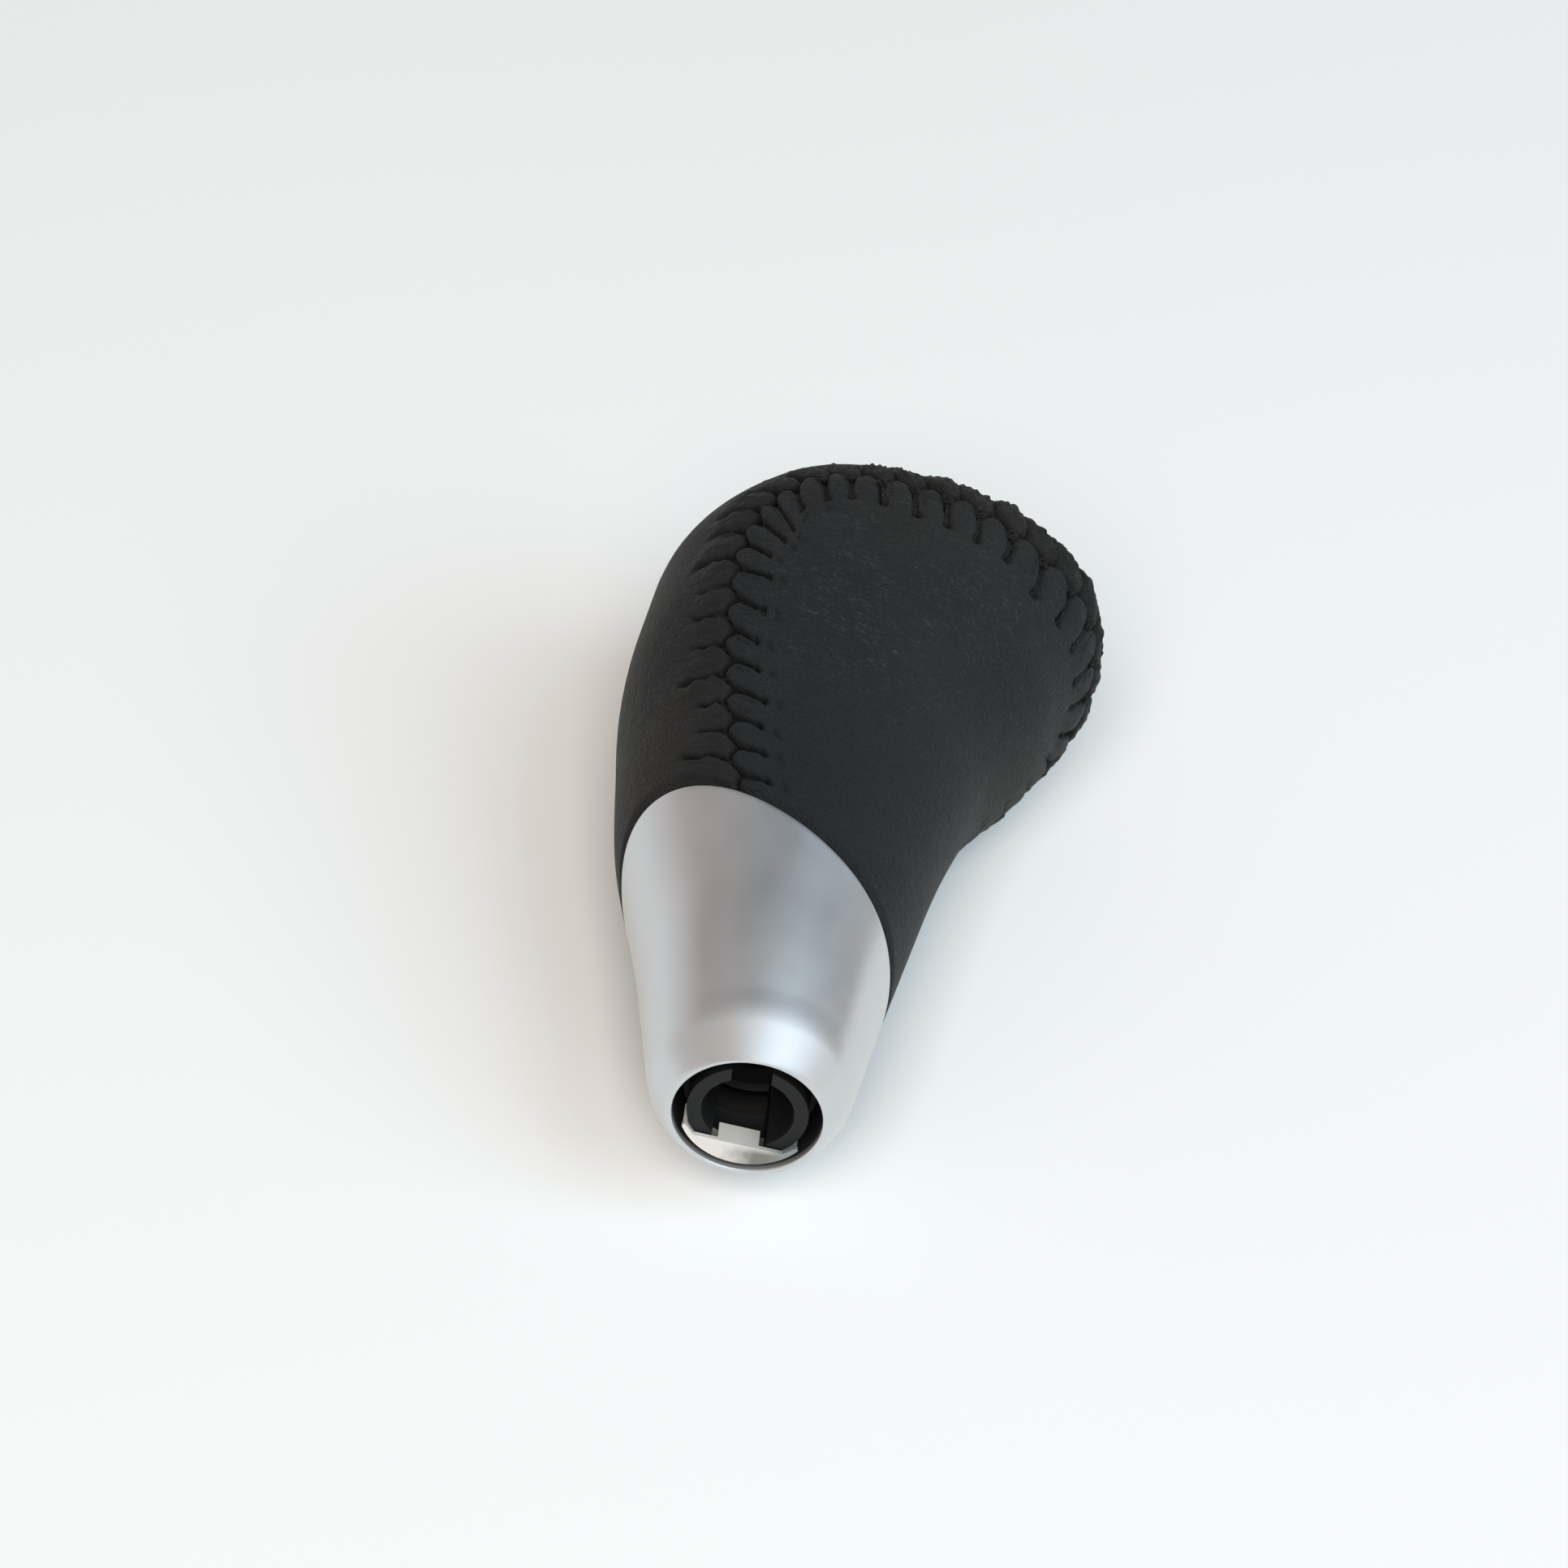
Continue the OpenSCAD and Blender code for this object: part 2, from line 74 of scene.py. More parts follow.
class GripSizes(PropertyGroup):
    """Sizes of the grip, the same as the solids'"""

    height: length("Height", "From the mouth to the top of the crown", 94)
    waist_z: length("Waist height", "Height of the waist", 36)
    waist_w: length("Waist width", "Width of the waist", 35)
    waist_d: length("Waist depth", "Depth of the waist", 32)
    head_z: length("Head height", "Height where the head is widest", 76)
    head_w: length("Head width", "Width of the head", 52.4)
    head_d: length("Head depth", "Depth of the head", 43)
    head_right: length("Lean right", "How far the head leans to the right", 8.6)
    head_front: length("Lean forward", "How far the head leans to the front", 4.9)
    rim_d: length("Rim", "Outer diameter of the collar's rim", 17)
    shoulder_d: length("Shoulder", "Diameter of the collar's shoulder", 21.6)
    nose_h: length("Nose", "Height of the collar's nose", 4)
    neck_d: length("Neck", "Diameter of the neck", 27.6)
    neck_z: length("Neck height", "Height of the neck", 20)
    edge_mean: length("Edge height", "Middle height of the collar's slanted edge", 23.4)
    edge_rise: length("Edge rise", "Rise of the slanted edge to its high side", 11.7)
    collar_wall: length("Collar wall", "Wall of the collar", 1.6)


class LeatherLook(PropertyGroup):
    """Gathers and finish of the two leather panels"""

    thickness: length("Thickness", "Thickness of the leather", 1.15)
    face_pillow: length("Face pillows", "Height of the pillows on the face side of the seam", 0.6)
    rear_pillow: length("Rear pillows", "Height of the pillows on the rear side of the seam", 0.55)
    fold: length("Edge fold", "Radius of the folded edge at the seam", 0.9)
    scallop: length("Scallop", "How far each pillow reaches over the seam's line", 0.5)
    groove: length("Groove", "Depth of the groove that a stitch pulls in", 0.85)
    face_colour: colour("Face", "Colour of the face panel", (0.0090, 0.0107, 0.0125))
    rear_colour: colour("Rear", "Colour of the rear panel", (0.0095, 0.0096, 0.0097))


class LacingLook(PropertyGroup):
    """Thread of the laced seam"""

    width: length("Strand", "Thickness of one strand", 0.28)
    strands: IntProperty(name="Strands", description="Strands twisted together", default=2, min=1, max=4)
    twist: FloatProperty(name="Twist", description="Turns of the strands along one leg", default=2.2, min=0,
                         max=8)
    colour: colour("Thread", "Colour of the thread", (0.022, 0.023, 0.022))


class MetalLook(PropertyGroup):
    """Finish of the collar and the clip"""

    collar_colour: colour("Collar", "Colour of the satin metal", (0.66, 0.67, 0.68))
    collar_roughness: share("Collar roughness", "Roughness of the satin metal", 0.3)
    clip_colour: colour("Clip", "Colour of the plated spring steel", (0.86, 0.84, 0.80))
    nylon_colour: colour("Socket", "Colour of the nylon socket", (0.009, 0.0095, 0.010))


class StageLook(PropertyGroup):
    """Table, background and lamps"""

    table_colour: colour("Table", "Colour of the table", (0.86, 0.875, 0.885))
    sky_colour: colour("Background", "Colour behind the table", (0.83, 0.85, 0.86))
    room_colour: colour("Room", "Even light of the room", (0.25, 0.225, 0.205))
    window: watts("Window", "Power of the lamp at the window", 14.5)
    front: watts("Front", "Power of the lamp on the camera's side", 80)
    behind: watts("Behind", "Power of the lamp behind the table", 12)


class KnobSettings(PropertyGroup):
    """All settings of the gear knob"""

    grip: PointerProperty(type=GripSizes)
    leather: PointerProperty(type=LeatherLook)
    lacing: PointerProperty(type=LacingLook)
    metal: PointerProperty(type=MetalLook)
    stage: PointerProperty(type=StageLook)


# Shape of the grip


class Grip:
    """The grip's skin: sections along the axis, sunk or raised, and its map of azimuth and level"""

    # Millimetres that the waist stands off the socket's axis, to the right and to the front
    waist_x, waist_front = -0.3, 0.6
    # On the map, level 0 is the foot of the dome, 1 the crown, and minus leg the leather's lower hem
    leg = 1.7
    hem_gap = 0.3
    # Fullness at the left shoulder: height and azimuth, reach down, up and round, and how far it stands out
    full_z, full_way = 73.8, -97
    full_down, full_up, full_round, full = 6.9, 3.3, 66, 0.9
    # The collar's edge: azimuth of its high side, depth of its arch and azimuth of the arch
    edge_way, arch, arch_way = -34, 2.2, 14

    def __init__(self, sizes):
        names = [n for n in sizes.bl_rna.properties.keys() if n not in ("rna_type", "name")]
        self.__dict__.update({n: getattr(sizes, n) / MM for n in names})
        half_w, half_d = self.waist_w / 2, self.waist_d / 2
        more_w, more_d = (self.head_w - self.waist_w) / 2, (self.head_d - self.waist_d) / 2
        nose, neck, shoulder = self.nose_h, self.neck_d / 2, self.shoulder_d / 2
        rim = self.rim_d / 2

        def up(part):
            return self.waist_z + part * (self.head_z - self.waist_z)

        def level(h, w, d, x, y, p):
            right = self.waist_x + x * (self.head_right - self.waist_x)
            back = -self.waist_front - y * (self.head_front - self.waist_front)
            return [h, half_w + w * more_w, half_d + d * more_d, right, back, p]

        rows = [[0, rim, rim, 0, 0, 2]]
        rows.append([nose / 2] + [rim + 0.6 * (shoulder - rim)] * 2 + [0, 0, 2])
        rows.append([nose, shoulder, shoulder, 0, 0, 2])
        rows.append([2 * nose] + [shoulder + 0.27 * (neck - shoulder)] * 2 + [0, 0, 2])
        rows.append([self.neck_z, neck, neck, 0, 0, 2])
        rows.append(level(self.waist_z, 0, 0, 0, 0, 2.1))
        rows.append(level(up(0.4), 0.39, 0.36, 0.16, 0.33, 2.2))
        rows.append(level(up(0.7), 0.84, 0.82, 0.6, 0.72, 2.3))
        rows.append(level(self.head_z, 1, 1, 1, 1, 2.3))
        rows.append(level(self.head_z + 0.56 * (self.height - self.head_z), 0.13, 0.27, 0.7, 1.1, 2.2))
        rows.append([self.height, 0, 0, self.waist_x, -self.head_front - 0.5, 2])
        self.rows = np.array(rows, float)
        self.rows[:, 1:3] **= 2
        rate = np.diff(self.rows, axis=0) / np.diff(self.rows[:, 0])[:, None]
        a, b = rate[:-1], rate[1:]
        even = 2 * a * b / np.where(a + b == 0, 1, a + b)
        self.slopes = np.vstack([rate[:1], np.where(a * b <= 0, 0, even), rate[-1:]])
        self.dome_z = up(0.8)
        self.dome_h = self.height - self.dome_z
        self.dome_a, self.dome_b = np.sqrt(self.section(np.array([self.dome_z]))[0, 1:3])

    def section(self, z):
        """Squared half width and depth, middle and squareness of the skin's oval at a height"""
        z = np.clip(z, 0, self.height)
        k = np.clip(np.searchsorted(self.rows[:, 0], z, side="right") - 1, 0, len(self.rows) - 2)
        h = (self.rows[k + 1, 0] - self.rows[k, 0])[..., None]
        t = (z - self.rows[k, 0])[..., None] / h
        start, end = 2 * t**3 - 3 * t * t + 1, 3 * t * t - 2 * t**3
        lead, trail = (t**3 - 2 * t * t + t) * h, (t**3 - t * t) * h
        level = start * self.rows[k] + end * self.rows[k + 1]
        return level + lead * self.slopes[k] + trail * self.slopes[k + 1]

    def shoulder(self, f, z):
        """Fullness of the leather over the padding at the left shoulder"""
        aside = f - math.radians(self.full_way)
        aside = np.arctan2(np.sin(aside), np.cos(aside)) / math.radians(self.full_round)
        up = (z - self.full_z) / np.where(z < self.full_z, self.full_down, self.full_up)
        return self.full * np.exp(-(up**2) - aside**2)

    def skin(self, f, z, sunk=0.0):
        """Points of the skin at azimuth f from the front, round to the right, and height z"""
        f, z, sunk = np.broadcast_arrays(*(np.asarray(v, float) for v in (f, z, sunk)))
        q = self.section(z)
        a0, b0 = np.sqrt(np.maximum(q[..., 1], 0)), np.sqrt(np.maximum(q[..., 2], 0))
        top = z > self.dome_z
        a = np.where(top, a0 * (1 - sunk / self.dome_a), a0 - sunk)
        b = np.where(top, b0 * (1 - sunk / self.dome_b), b0 - sunk)
        h = np.where(top, self.dome_z + (z - self.dome_z) * (1 - sunk / self.dome_h), z)
        p = q[..., 5]
        u, v = np.abs(np.sin(f)) / np.maximum(a, 1e-3), np.abs(np.cos(f)) / np.maximum(b, 1e-3)
        r = (u**p + v**p) ** (-1 / p) + self.shoulder(f, z)
        return np.stack([q[..., 3] + r * np.sin(f), q[..., 4] - r * np.cos(f), h], -1)

    def edge_z(self, f):
        """Height of the collar's slanted edge"""
        slant = self.edge_rise * np.cos(f - math.radians(self.edge_way))
        return self.edge_mean + slant - self.arch * np.cos(2 * (f - math.radians(self.arch_way)))

    def hem_z(self, f):
        return self.edge_z(f) + self.hem_gap

    def level_z(self, f, w):
        """Height of a level of the map"""
        below = self.dome_z + w / self.leg * (self.dome_z - self.hem_z(f))
        return np.where(w > 0, self.dome_z + self.dome_h * w, below)

    def at(self, f, w, sunk=0.0):
        return self.skin(f, self.level_z(f, w), sunk)

    def turns(self, f, w):
        """How the skin's point moves with azimuth and with level"""
        step = 1e-4
        by_f = (self.at(f + step, w) - self.at(f - step, w)) / (2 * step)
        by_w = (self.at(f, w + step) - self.at(f, w - step)) / (2 * step)
        return by_f, by_w


def globe(f, w):
    """Map places as points on a globe that stands on a tube, so that rows can be blended over the crown"""
    r = np.sqrt(np.maximum(0, 1 - np.maximum(w, 0) ** 2))
    return np.stack([r * np.sin(f), -r * np.cos(f), w + 0 * f], -1)


def unglobe(q):
    size = np.linalg.norm(q, axis=-1)
    return np.arctan2(q[..., 0], -q[..., 1]), np.where(q[..., 2] > 0, q[..., 2] / size, q[..., 2])


def evened(f, w, passes):
    """Map places of one row of a panel, evened out along the row so that its columns don't cross"""
    q = globe(f, w)
    for _ in range(passes):
        q[1:-1] = (q[:-2] + 2 * q[1:-1] + q[2:]) / 4
    return unglobe(q)


def unit(v):
    return v / np.maximum(np.linalg.norm(v, axis=-1, keepdims=True), 1e-12)


def smooth(t):
    t = np.clip(t, 0, 1)
    return t * t * (3 - 2 * t)


def noise(x, y, seed):
    """Soft waves that never repeat, from -1 to 1, the same at every run"""
    pick = np.random.default_rng(seed)
    total, weight = np.zeros(np.broadcast(x, y).shape), 0.0
    for octave in range(3):
        for _ in range(5):
            angle, phase, stretch = pick.uniform(0, 2 * math.pi, 2).tolist() + [pick.uniform(0.7, 1.4)]
            wave = 2**octave * stretch
            total += np.sin(wave * (x * math.cos(angle) + y * math.sin(angle)) + phase) / 2**octave
            weight += 0.6 / 2**octave
    return total / weight


class Lines:
    """Map places of lines that leave the seam, in rows at even distances square to it"""

    def __init__(self, rows, start, step):
        self.f, self.w = (np.array(table) for table in zip(*rows))
        self.start, self.step = start, step

    def at(self, d, columns):
        """Map places at the distances d, each on its own line"""
        place = (d - self.start) / self.step
        k = np.clip(place.astype(int), 0, len(self.f) - 2)
        t = place - k
        return [table[k, columns] * (1 - t) + table[k + 1, columns] * t for table in (self.f, self.w)]


class Seam:
    """The laced seam: its path on the map, its stitches and the slant of their legs"""

    # Azimuth in degrees and level, from the hem on the left over the crown to the hem on the right
    path = [(-18, -1.7), (-26, -1.15), (-35, -0.42), (-40, 0.04), (-35, 0.31), (-20, 0.43), (0, 0.4),
            (22, 0.33), (45, 0.22), (70, 0.19), (92, 0.14), (108, -0.02), (121, -0.36), (128.5, -0.87),
            (129, -1.7)]
    # Distance between stitches, and slant of the legs on each side, along a seam of this length
    tables_to = 160
    pitch = [(0, 4.0), (20, 4.3), (34, 4.2), (38, 3.4), (50, 3.5), (56, 3.8), (70, 4.5), (80, 5.2),
             (92, 5.2), (105, 4.6), (160, 4.4)]
    face_slant = [(0, -0.45), (8, -0.6), (20, -0.55), (34, -0.42), (42, -0.5), (48, 0), (54, 0.28),
                  (75, 0.3), (95, 0.1), (130, -0.1), (150, -0.4), (160, -0.5)]
    rear_slant = [(0, 0.45), (6, 0.4), (12, 0.15), (22, 0), (34, -0.1), (42, -0.35), (55, -0.5), (85, -0.5),
                  (105, -0.2), (130, 0.1), (150, 0.4), (160, 0.5)]
    first = 2.1

    def __init__(self, grip):
        p = np.array(self.path, float)
        t = np.linspace(0, len(p) - 1, 4000)
        k = np.minimum(t.astype(int), len(p) - 2)
        u = (t - k)[:, None]
        p1, p2 = p[k], p[k + 1]
        p0 = np.where((k > 0)[:, None], p[np.maximum(k - 1, 0)], 2 * p1 - p2)
        p3 = np.where((k < len(p) - 2)[:, None], p[np.minimum(k + 2, len(p) - 1)], 2 * p2 - p1)
        m = 0.5 * (2 * p1 + (p2 - p0) * u + (2 * p0 - 5 * p1 + 4 * p2 - p3) * u**2
                   + (3 * p1 - p0 - 3 * p2 + p3) * u**3)
        self.f, self.w = np.radians(m[:, 0]), np.maximum(m[:, 1], -grip.leg)
        steps = np.linalg.norm(np.diff(grip.at(self.f, self.w), axis=0), axis=1)
        self.run = np.concatenate([[0], np.cumsum(steps)])
        self.length = self.run[-1]
        stitches = [self.first]
        while stitches[-1] < self.length - 2:
            stitches.append(stitches[-1] + self.curve(self.pitch, stitches[-1] + 2))
        self.stitches = np.array(stitches[:-1])

    def curve(self, table, at):
        """Value of one of the tables at places along the seam"""
        table = np.array(table, float)
        return np.interp(at, table[:, 0] * self.length / self.tables_to, table[:, 1])

    def mark(self, at):
        """Places along the seam in the millimetres of the tables"""
        return at / self.length * self.tables_to

    def ends(self):
        """Places of the stitches, with one more before the first and one after the last"""
        s = self.stitches
        return np.concatenate([[2 * s[0] - s[1]], s, [2 * s[-1] - s[-2]]])

    def place(self, at):
        return np.interp(at, self.run, self.f), np.interp(at, self.run, self.w)

    def phase(self, at):
        """Stitch number as a smooth count: a whole number at a leg of the face side"""
        return np.interp(at, self.ends(), np.arange(-1, len(self.stitches) + 1))

    def columns(self, grip, at, rear, reach):
        """Lines that leave the seam along its gathers, and start a little way back across it"""
        step, back = 0.25, 5
        f0, w0 = self.place(at)
        slant = self.curve(self.rear_slant if rear else self.face_slant, at)
        side = -1 if rear else 1
        lines = {}
        for way in (1, -1):
            f, w = f0.copy(), w0.copy()
            by_f, by_w = grip.turns(f, w)
            ahead = unit(grip.at(*self.place(at + 0.05)) - grip.at(*self.place(at - 0.05)))
            ahead[0] = unit(grip.at(*self.place(at[0] + 0.1)) - grip.at(f0[0], w0[0]))
            ahead[-1] = unit(grip.at(f0[-1], w0[-1]) - grip.at(*self.place(at[-1] - 0.1)))
            out = unit(np.cross(by_f, by_w))
            across = unit(np.cross(ahead, out)) * side
            go = unit(across + slant[:, None] * ahead)
            along_hem = unit(by_f) * np.sign(np.sum(by_f * across, -1))[:, None]
            from_hem = np.minimum(at, self.length - at)
            blend = smooth(from_hem / 6)[:, None]
            go = unit(go * blend + along_hem * (1 - blend)) * way
            stretch = 1 / np.maximum(np.abs(np.sum(go * across, -1)), 0.5)
            floor = -grip.leg + 0.004 * np.minimum(np.arange(len(at)), np.arange(len(at))[::-1])
            track = []
            for _ in range(back if way < 0 else int(reach / step) + 2):
                by_f, by_w = grip.turns(f, w)
                out = unit(np.cross(by_f, by_w))
                go = unit(go - out * np.sum(go * out, -1)[:, None])
                ff, fw, ww = (np.sum(a * b, -1) for a, b in ((by_f, by_f), (by_f, by_w), (by_w, by_w)))
                gf, gw = np.sum(go * by_f, -1), np.sum(go * by_w, -1)
                det = ff * ww - fw * fw
                move = step * stretch
                f = f + move * (gf * ww - gw * fw) / det
                w = np.maximum(w + move * (gw * ff - gf * fw) / det, floor)
                w[0] = w[-1] = -grip.leg
                track.append((f, w))
            lines[way] = track
        return Lines(lines[-1][::-1] + [(f0, w0)] + lines[1], -back * step, step)


# Meshes


def mesh_object(name, points, faces, shade=True, uv=None, marks=None):
    """A mesh object at the origin from points in millimetres and faces of three or four corners"""
    mesh = bpy.data.meshes.new(name)
    points = np.asarray(points, np.float32).reshape(-1, 3) * MM
    mesh.vertices.add(len(points))
    mesh.vertices.foreach_set("co", points.ravel())
    sizes = np.array([len(f) for f in faces], np.int32)
    corners = np.concatenate([np.asarray(f, np.int32) for f in faces])
    mesh.loops.add(len(corners))
    mesh.loops.foreach_set("vertex_index", corners)
    mesh.polygons.add(len(sizes))
    mesh.polygons.foreach_set("loop_start", np.concatenate([[0], np.cumsum(sizes)[:-1]]).astype(np.int32))
    mesh.update(calc_edges=True)
    mesh.validate()
    if shade:
        mesh.shade_smooth()
    if uv is not None:
        layer = mesh.uv_layers.new(name="UVMap")
        index = np.empty(len(mesh.loops), np.int32)
        mesh.loops.foreach_get("vertex_index", index)
        layer.data.foreach_set("uv", np.asarray(uv, np.float32)[index].ravel())
    for label, values in (marks or {}).items():
        layer = mesh.attributes.new(label, "FLOAT", "POINT")
        layer.data.foreach_set("value", np.asarray(values, np.float32).ravel())
    thing = bpy.data.objects.new(name, mesh)
    bpy.context.scene.collection.objects.link(thing)
    return thing


def ring_faces(rings, count, closed=True, loop=False):
    """Quads between rings of count points; closed joins each ring, loop joins the last ring to the first"""
    a = np.arange(rings if loop else rings - 1)[:, None]
    i = np.arange(count if closed else count - 1)[None, :]
    j, b = (i + 1) % count, (a + 1) % rings
    return np.stack([a * count + i, a * count + j, b * count + j, b * count + i], -1).reshape(-1, 4)


def dress(thing, material):
    thing.data.materials.clear()
    thing.data.materials.append(material)


def finish_piece(thing, material, node):
    """Gives a piece its finish, and puts it on the knob in place of a solid"""
    dress(thing, material)
    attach(thing, KNOB)
    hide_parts(node)


# Materials


class Tree:
    """Short words for building a node tree"""

    def __init__(self, tree):
        self.tree = tree
        tree.nodes.clear()

    def fill(self, socket, value):
        """Gives a socket a link, or its own plain value"""
        if isinstance(value, bpy.types.NodeSocket):
            self.tree.links.new(value, socket)
        else:
            socket.default_value = (*value, 1) if socket.type == "RGBA" else value

    def add(self, kind, sockets=None, **settings):
        node = self.tree.nodes.new(kind)
        for key, value in settings.items():
            setattr(node, key, value)
        for key, value in (sockets or {}).items():
            self.fill(node.inputs[key], value)
        return node

    def out(self, kind, sockets=None, output=0, **settings):
        """Adds a node and gives one of its outputs"""
        return self.add(kind, sockets, **settings).outputs[output]

    def math(self, how, a, b=0.5, clamp=False):
        return self.out("ShaderNodeMath", {0: a, 1: b}, operation=how, use_clamp=clamp)

    def fit(self, value, low, high, to_low=0.0, to_high=1.0, **settings):
        """Turns the range from low to high into the range from to_low to to_high"""
        sockets = {"Value": value, "From Min": low, "From Max": high, "To Min": to_low, "To Max": to_high}
        return self.out("ShaderNodeMapRange", sockets, "Result", **settings)

    def mix(self, amount, first, second):
        return self.out("ShaderNodeMix", {0: amount, 6: first, 7: second}, 2, data_type="RGBA")


class Finish(Tree):
    """Short words for building a material"""

    def __init__(self, name):
        self.material = bpy.data.materials.new(name)
        self.material.use_nodes = True
        super().__init__(self.material.node_tree)
        self.shader = self.add("ShaderNodeBsdfPrincipled")
        self.output = self.add("ShaderNodeOutputMaterial", {"Surface": self.shader.outputs[0]})

    def set(self, **values):
        for key, value in values.items():
            self.fill(self.shader.inputs[key.replace("_", " ")], value)

    def place(self, scale=(1, 1, 1), output="Object"):
        """Coordinates in millimetres, or as they stand in the UV map, stretched by scale"""
        unit_scale = 1 / MM if output == "Object" else 1
        where = self.out("ShaderNodeTexCoord", output=output)
        return self.out("ShaderNodeMapping", {"Vector": where, "Scale": [s * unit_scale for s in scale]})

    def drawn(self, size, turn=(0, 0, 0)):
        """Coordinates in which a pattern is drawn out by size, along axes that are turned"""
        where = self.out("ShaderNodeTexCoord", output="Object")
        sockets = {"Vector": where, "Scale": [s * MM for s in size], "Rotation": turn}
        return self.out("ShaderNodeMapping", sockets, vector_type="TEXTURE")

    def noise(self, where, scale, detail, rough=0.5, warp=0.0):
        sockets = {"Vector": where, "Scale": scale, "Detail": detail, "Roughness": rough, "Distortion": warp}
        return self.out("ShaderNodeTexNoise", sockets, "Fac")

    def cells(self, where, scale, feature="F1"):
        sockets = {"Vector": where, "Scale": scale}
        return self.out("ShaderNodeTexVoronoi", sockets, "Distance", feature=feature)

    def split(self, where):
        return self.add("ShaderNodeSeparateXYZ", {0: where}).outputs

    def mark(self, name):
        """Value from 0 to 1 that a piece's mesh carries"""
        return self.out("ShaderNodeAttribute", output="Fac", attribute_name=name)

    def bump(self, height, depth, after=None):
        """Bump whose height from 0 to 1 stands for a depth in millimetres, on top of another one"""
        sockets = {"Height": height, "Distance": depth * MM}
        if after is not None:
            sockets["Normal"] = after
        return self.out("ShaderNodeBump", sockets)

    def toned(self, base, darker, pattern, low=0.3, high=0.7):
        """Colour that rises with a pattern from a darker share of base to base"""
        return self.mix(self.fit(pattern, low, high), shaded(base, darker), base)


def shaded(tint, by):
    return tuple(by * c for c in tint)


def leather_material(name, base, warm, worn_at):
    """Matt fine-grained leather with short wrinkles, worn ridges, a few dust specks and painted crease shade
    """
    worn_tint, dust_tint, crease_shade_tint = (0.036, 0.037, 0.039), (0.12, 0.115, 0.11), (0.0008, 0.0008, 0.0008)
    slant = (0, 0.3, 0)
    n = Finish(name)
    where = n.place()
    pores = n.cells(where, 2.6)
    plates = n.cells(n.drawn((1, 1, 1.5)), 1.8, "DISTANCE_TO_EDGE")
    grain = n.noise(where, 3, 3, 0.6, 0.4)
    wrinkles = n.noise(n.drawn((2.5, 1, 0.52), slant), 0.95, 2, 0.5, 0.3)
    ridged = n.math("ABSOLUTE", n.math("SUBTRACT", wrinkles, 0.5))
    patches = n.noise(n.drawn((1.6, 1, 1), slant), 0.42, 2)
    soft = n.noise(n.place((0.3, 0.3, 0.4)), 0.5, 2)
    lines = n.noise(n.place((0.9, 4, 1), "UV"), 1.2, 3, 0.55, 0.3)
    near_seam = n.fit(n.split(n.out("ShaderNodeTexCoord", output="UV"))["Y"], 0.05, 0.62, 1, 0)
    away = n.out("ShaderNodeVectorMath", {0: where, 1: worn_at}, "Value", operation="DISTANCE")
    centre = n.fit(away, 12, 27, 1, 0.12)
    crease_shade = n.mark("crease_shade")
    bump = n.bump(n.fit(plates, 0, 0.22), 0.05)
    for height, depth in ((pores, 0.02), (grain, 0.07), (n.fit(ridged, 0, 0.07), 0.055), (soft, 0.3),
                          (n.math("MULTIPLY", lines, near_seam), 0.14)):
        bump = n.bump(height, depth, bump)
    shade = n.toned(base, 0.85, n.noise(where, 0.07, 2), 0.35, 0.65)
    worn = n.math("MULTIPLY", n.fit(ridged, 0.026, 0.004), n.fit(patches, 0.30, 0.58))
    worn = n.math("MULTIPLY", worn, n.math("MULTIPLY", centre, 0.8))
    shade = n.mix(worn, shade, worn_tint)
    shade = n.mix(n.math("MULTIPLY", n.fit(n.noise(where, 0.045, 1), 0.45, 0.7), 0.5), shade, warm)
    speck = n.fit(n.cells(where, 0.28), 0.012, 0.03, 1, 0)
    shade = n.mix(n.math("MULTIPLY", speck, 0.7), shade, dust_tint)
    # Painted shade: near black in the creases, stitch holes and along the folded edge, from the panel's mark
    shade = n.mix(n.math("MULTIPLY", crease_shade, 0.9), shade, crease_shade_tint)
    rough = n.math("ADD", n.fit(grain, 0.3, 0.7, 0.74, 0.64), n.math("MULTIPLY", crease_shade, 0.25), clamp=True)
    n.set(Base_Color=shade, Roughness=rough, Normal=bump)
    n.set(Specular_IOR_Level=0.3, Sheen_Weight=0.03, Sheen_Roughness=0.35)
    return n.material


def thread_material(base):
    """Spun thread: fibres along the strand, fuzz painted pale as glints of light"""
    n = Finish("lacing thread")
    where = n.place()
    fibres = n.noise(where, 7, 3, 0.6, 1.2)
    shade = n.mix(n.fit(fibres, 0.45, 0.7), shaded(base, 0.25), shaded(base, 1.1))
    fuzz_glint = n.noise(where, 4.5, 2, 0.5, 0.8)
    # Painted glints: pale specks where the fuzz would catch the light
    shade = n.mix(n.fit(fuzz_glint, 0.67, 0.73), shade, (0.12, 0.118, 0.115))
    n.set(Base_Color=shade, Roughness=0.75, Normal=n.bump(fibres, 0.08))
    n.set(Specular_IOR_Level=0.2, Sheen_Weight=0.03, Sheen_Roughness=0.5)
    return n.material


def satin_material(base, roughness):
    """Satin metal, blasted fine, with a faint variation in gloss, and painted near black as shade inside the
    mouth
    """
    n = Finish("satin metal")
    grain = n.noise(n.place(), 9, 2, 0.6)
    clouds = n.noise(n.place((0.2, 0.2, 0.12)), 1.2, 2)
    # Painted shade: the faces marked inside are near black, rougher and not metallic
    inside = n.mark("inside")
    shade = n.mix(inside, n.toned(base, 0.97, clouds), (0.012, 0.012, 0.013))
    gloss = n.fit(clouds, 0.3, 0.7, roughness - 0.02, roughness + 0.03)
    gloss = n.math("ADD", gloss, n.math("MULTIPLY", inside, 0.35), clamp=True)
    metallic = n.math("SUBTRACT", 1.0, inside, clamp=True)
    n.set(Base_Color=shade, Metallic=metallic, Roughness=gloss, Normal=n.bump(grain, 0.003))
    return n.material


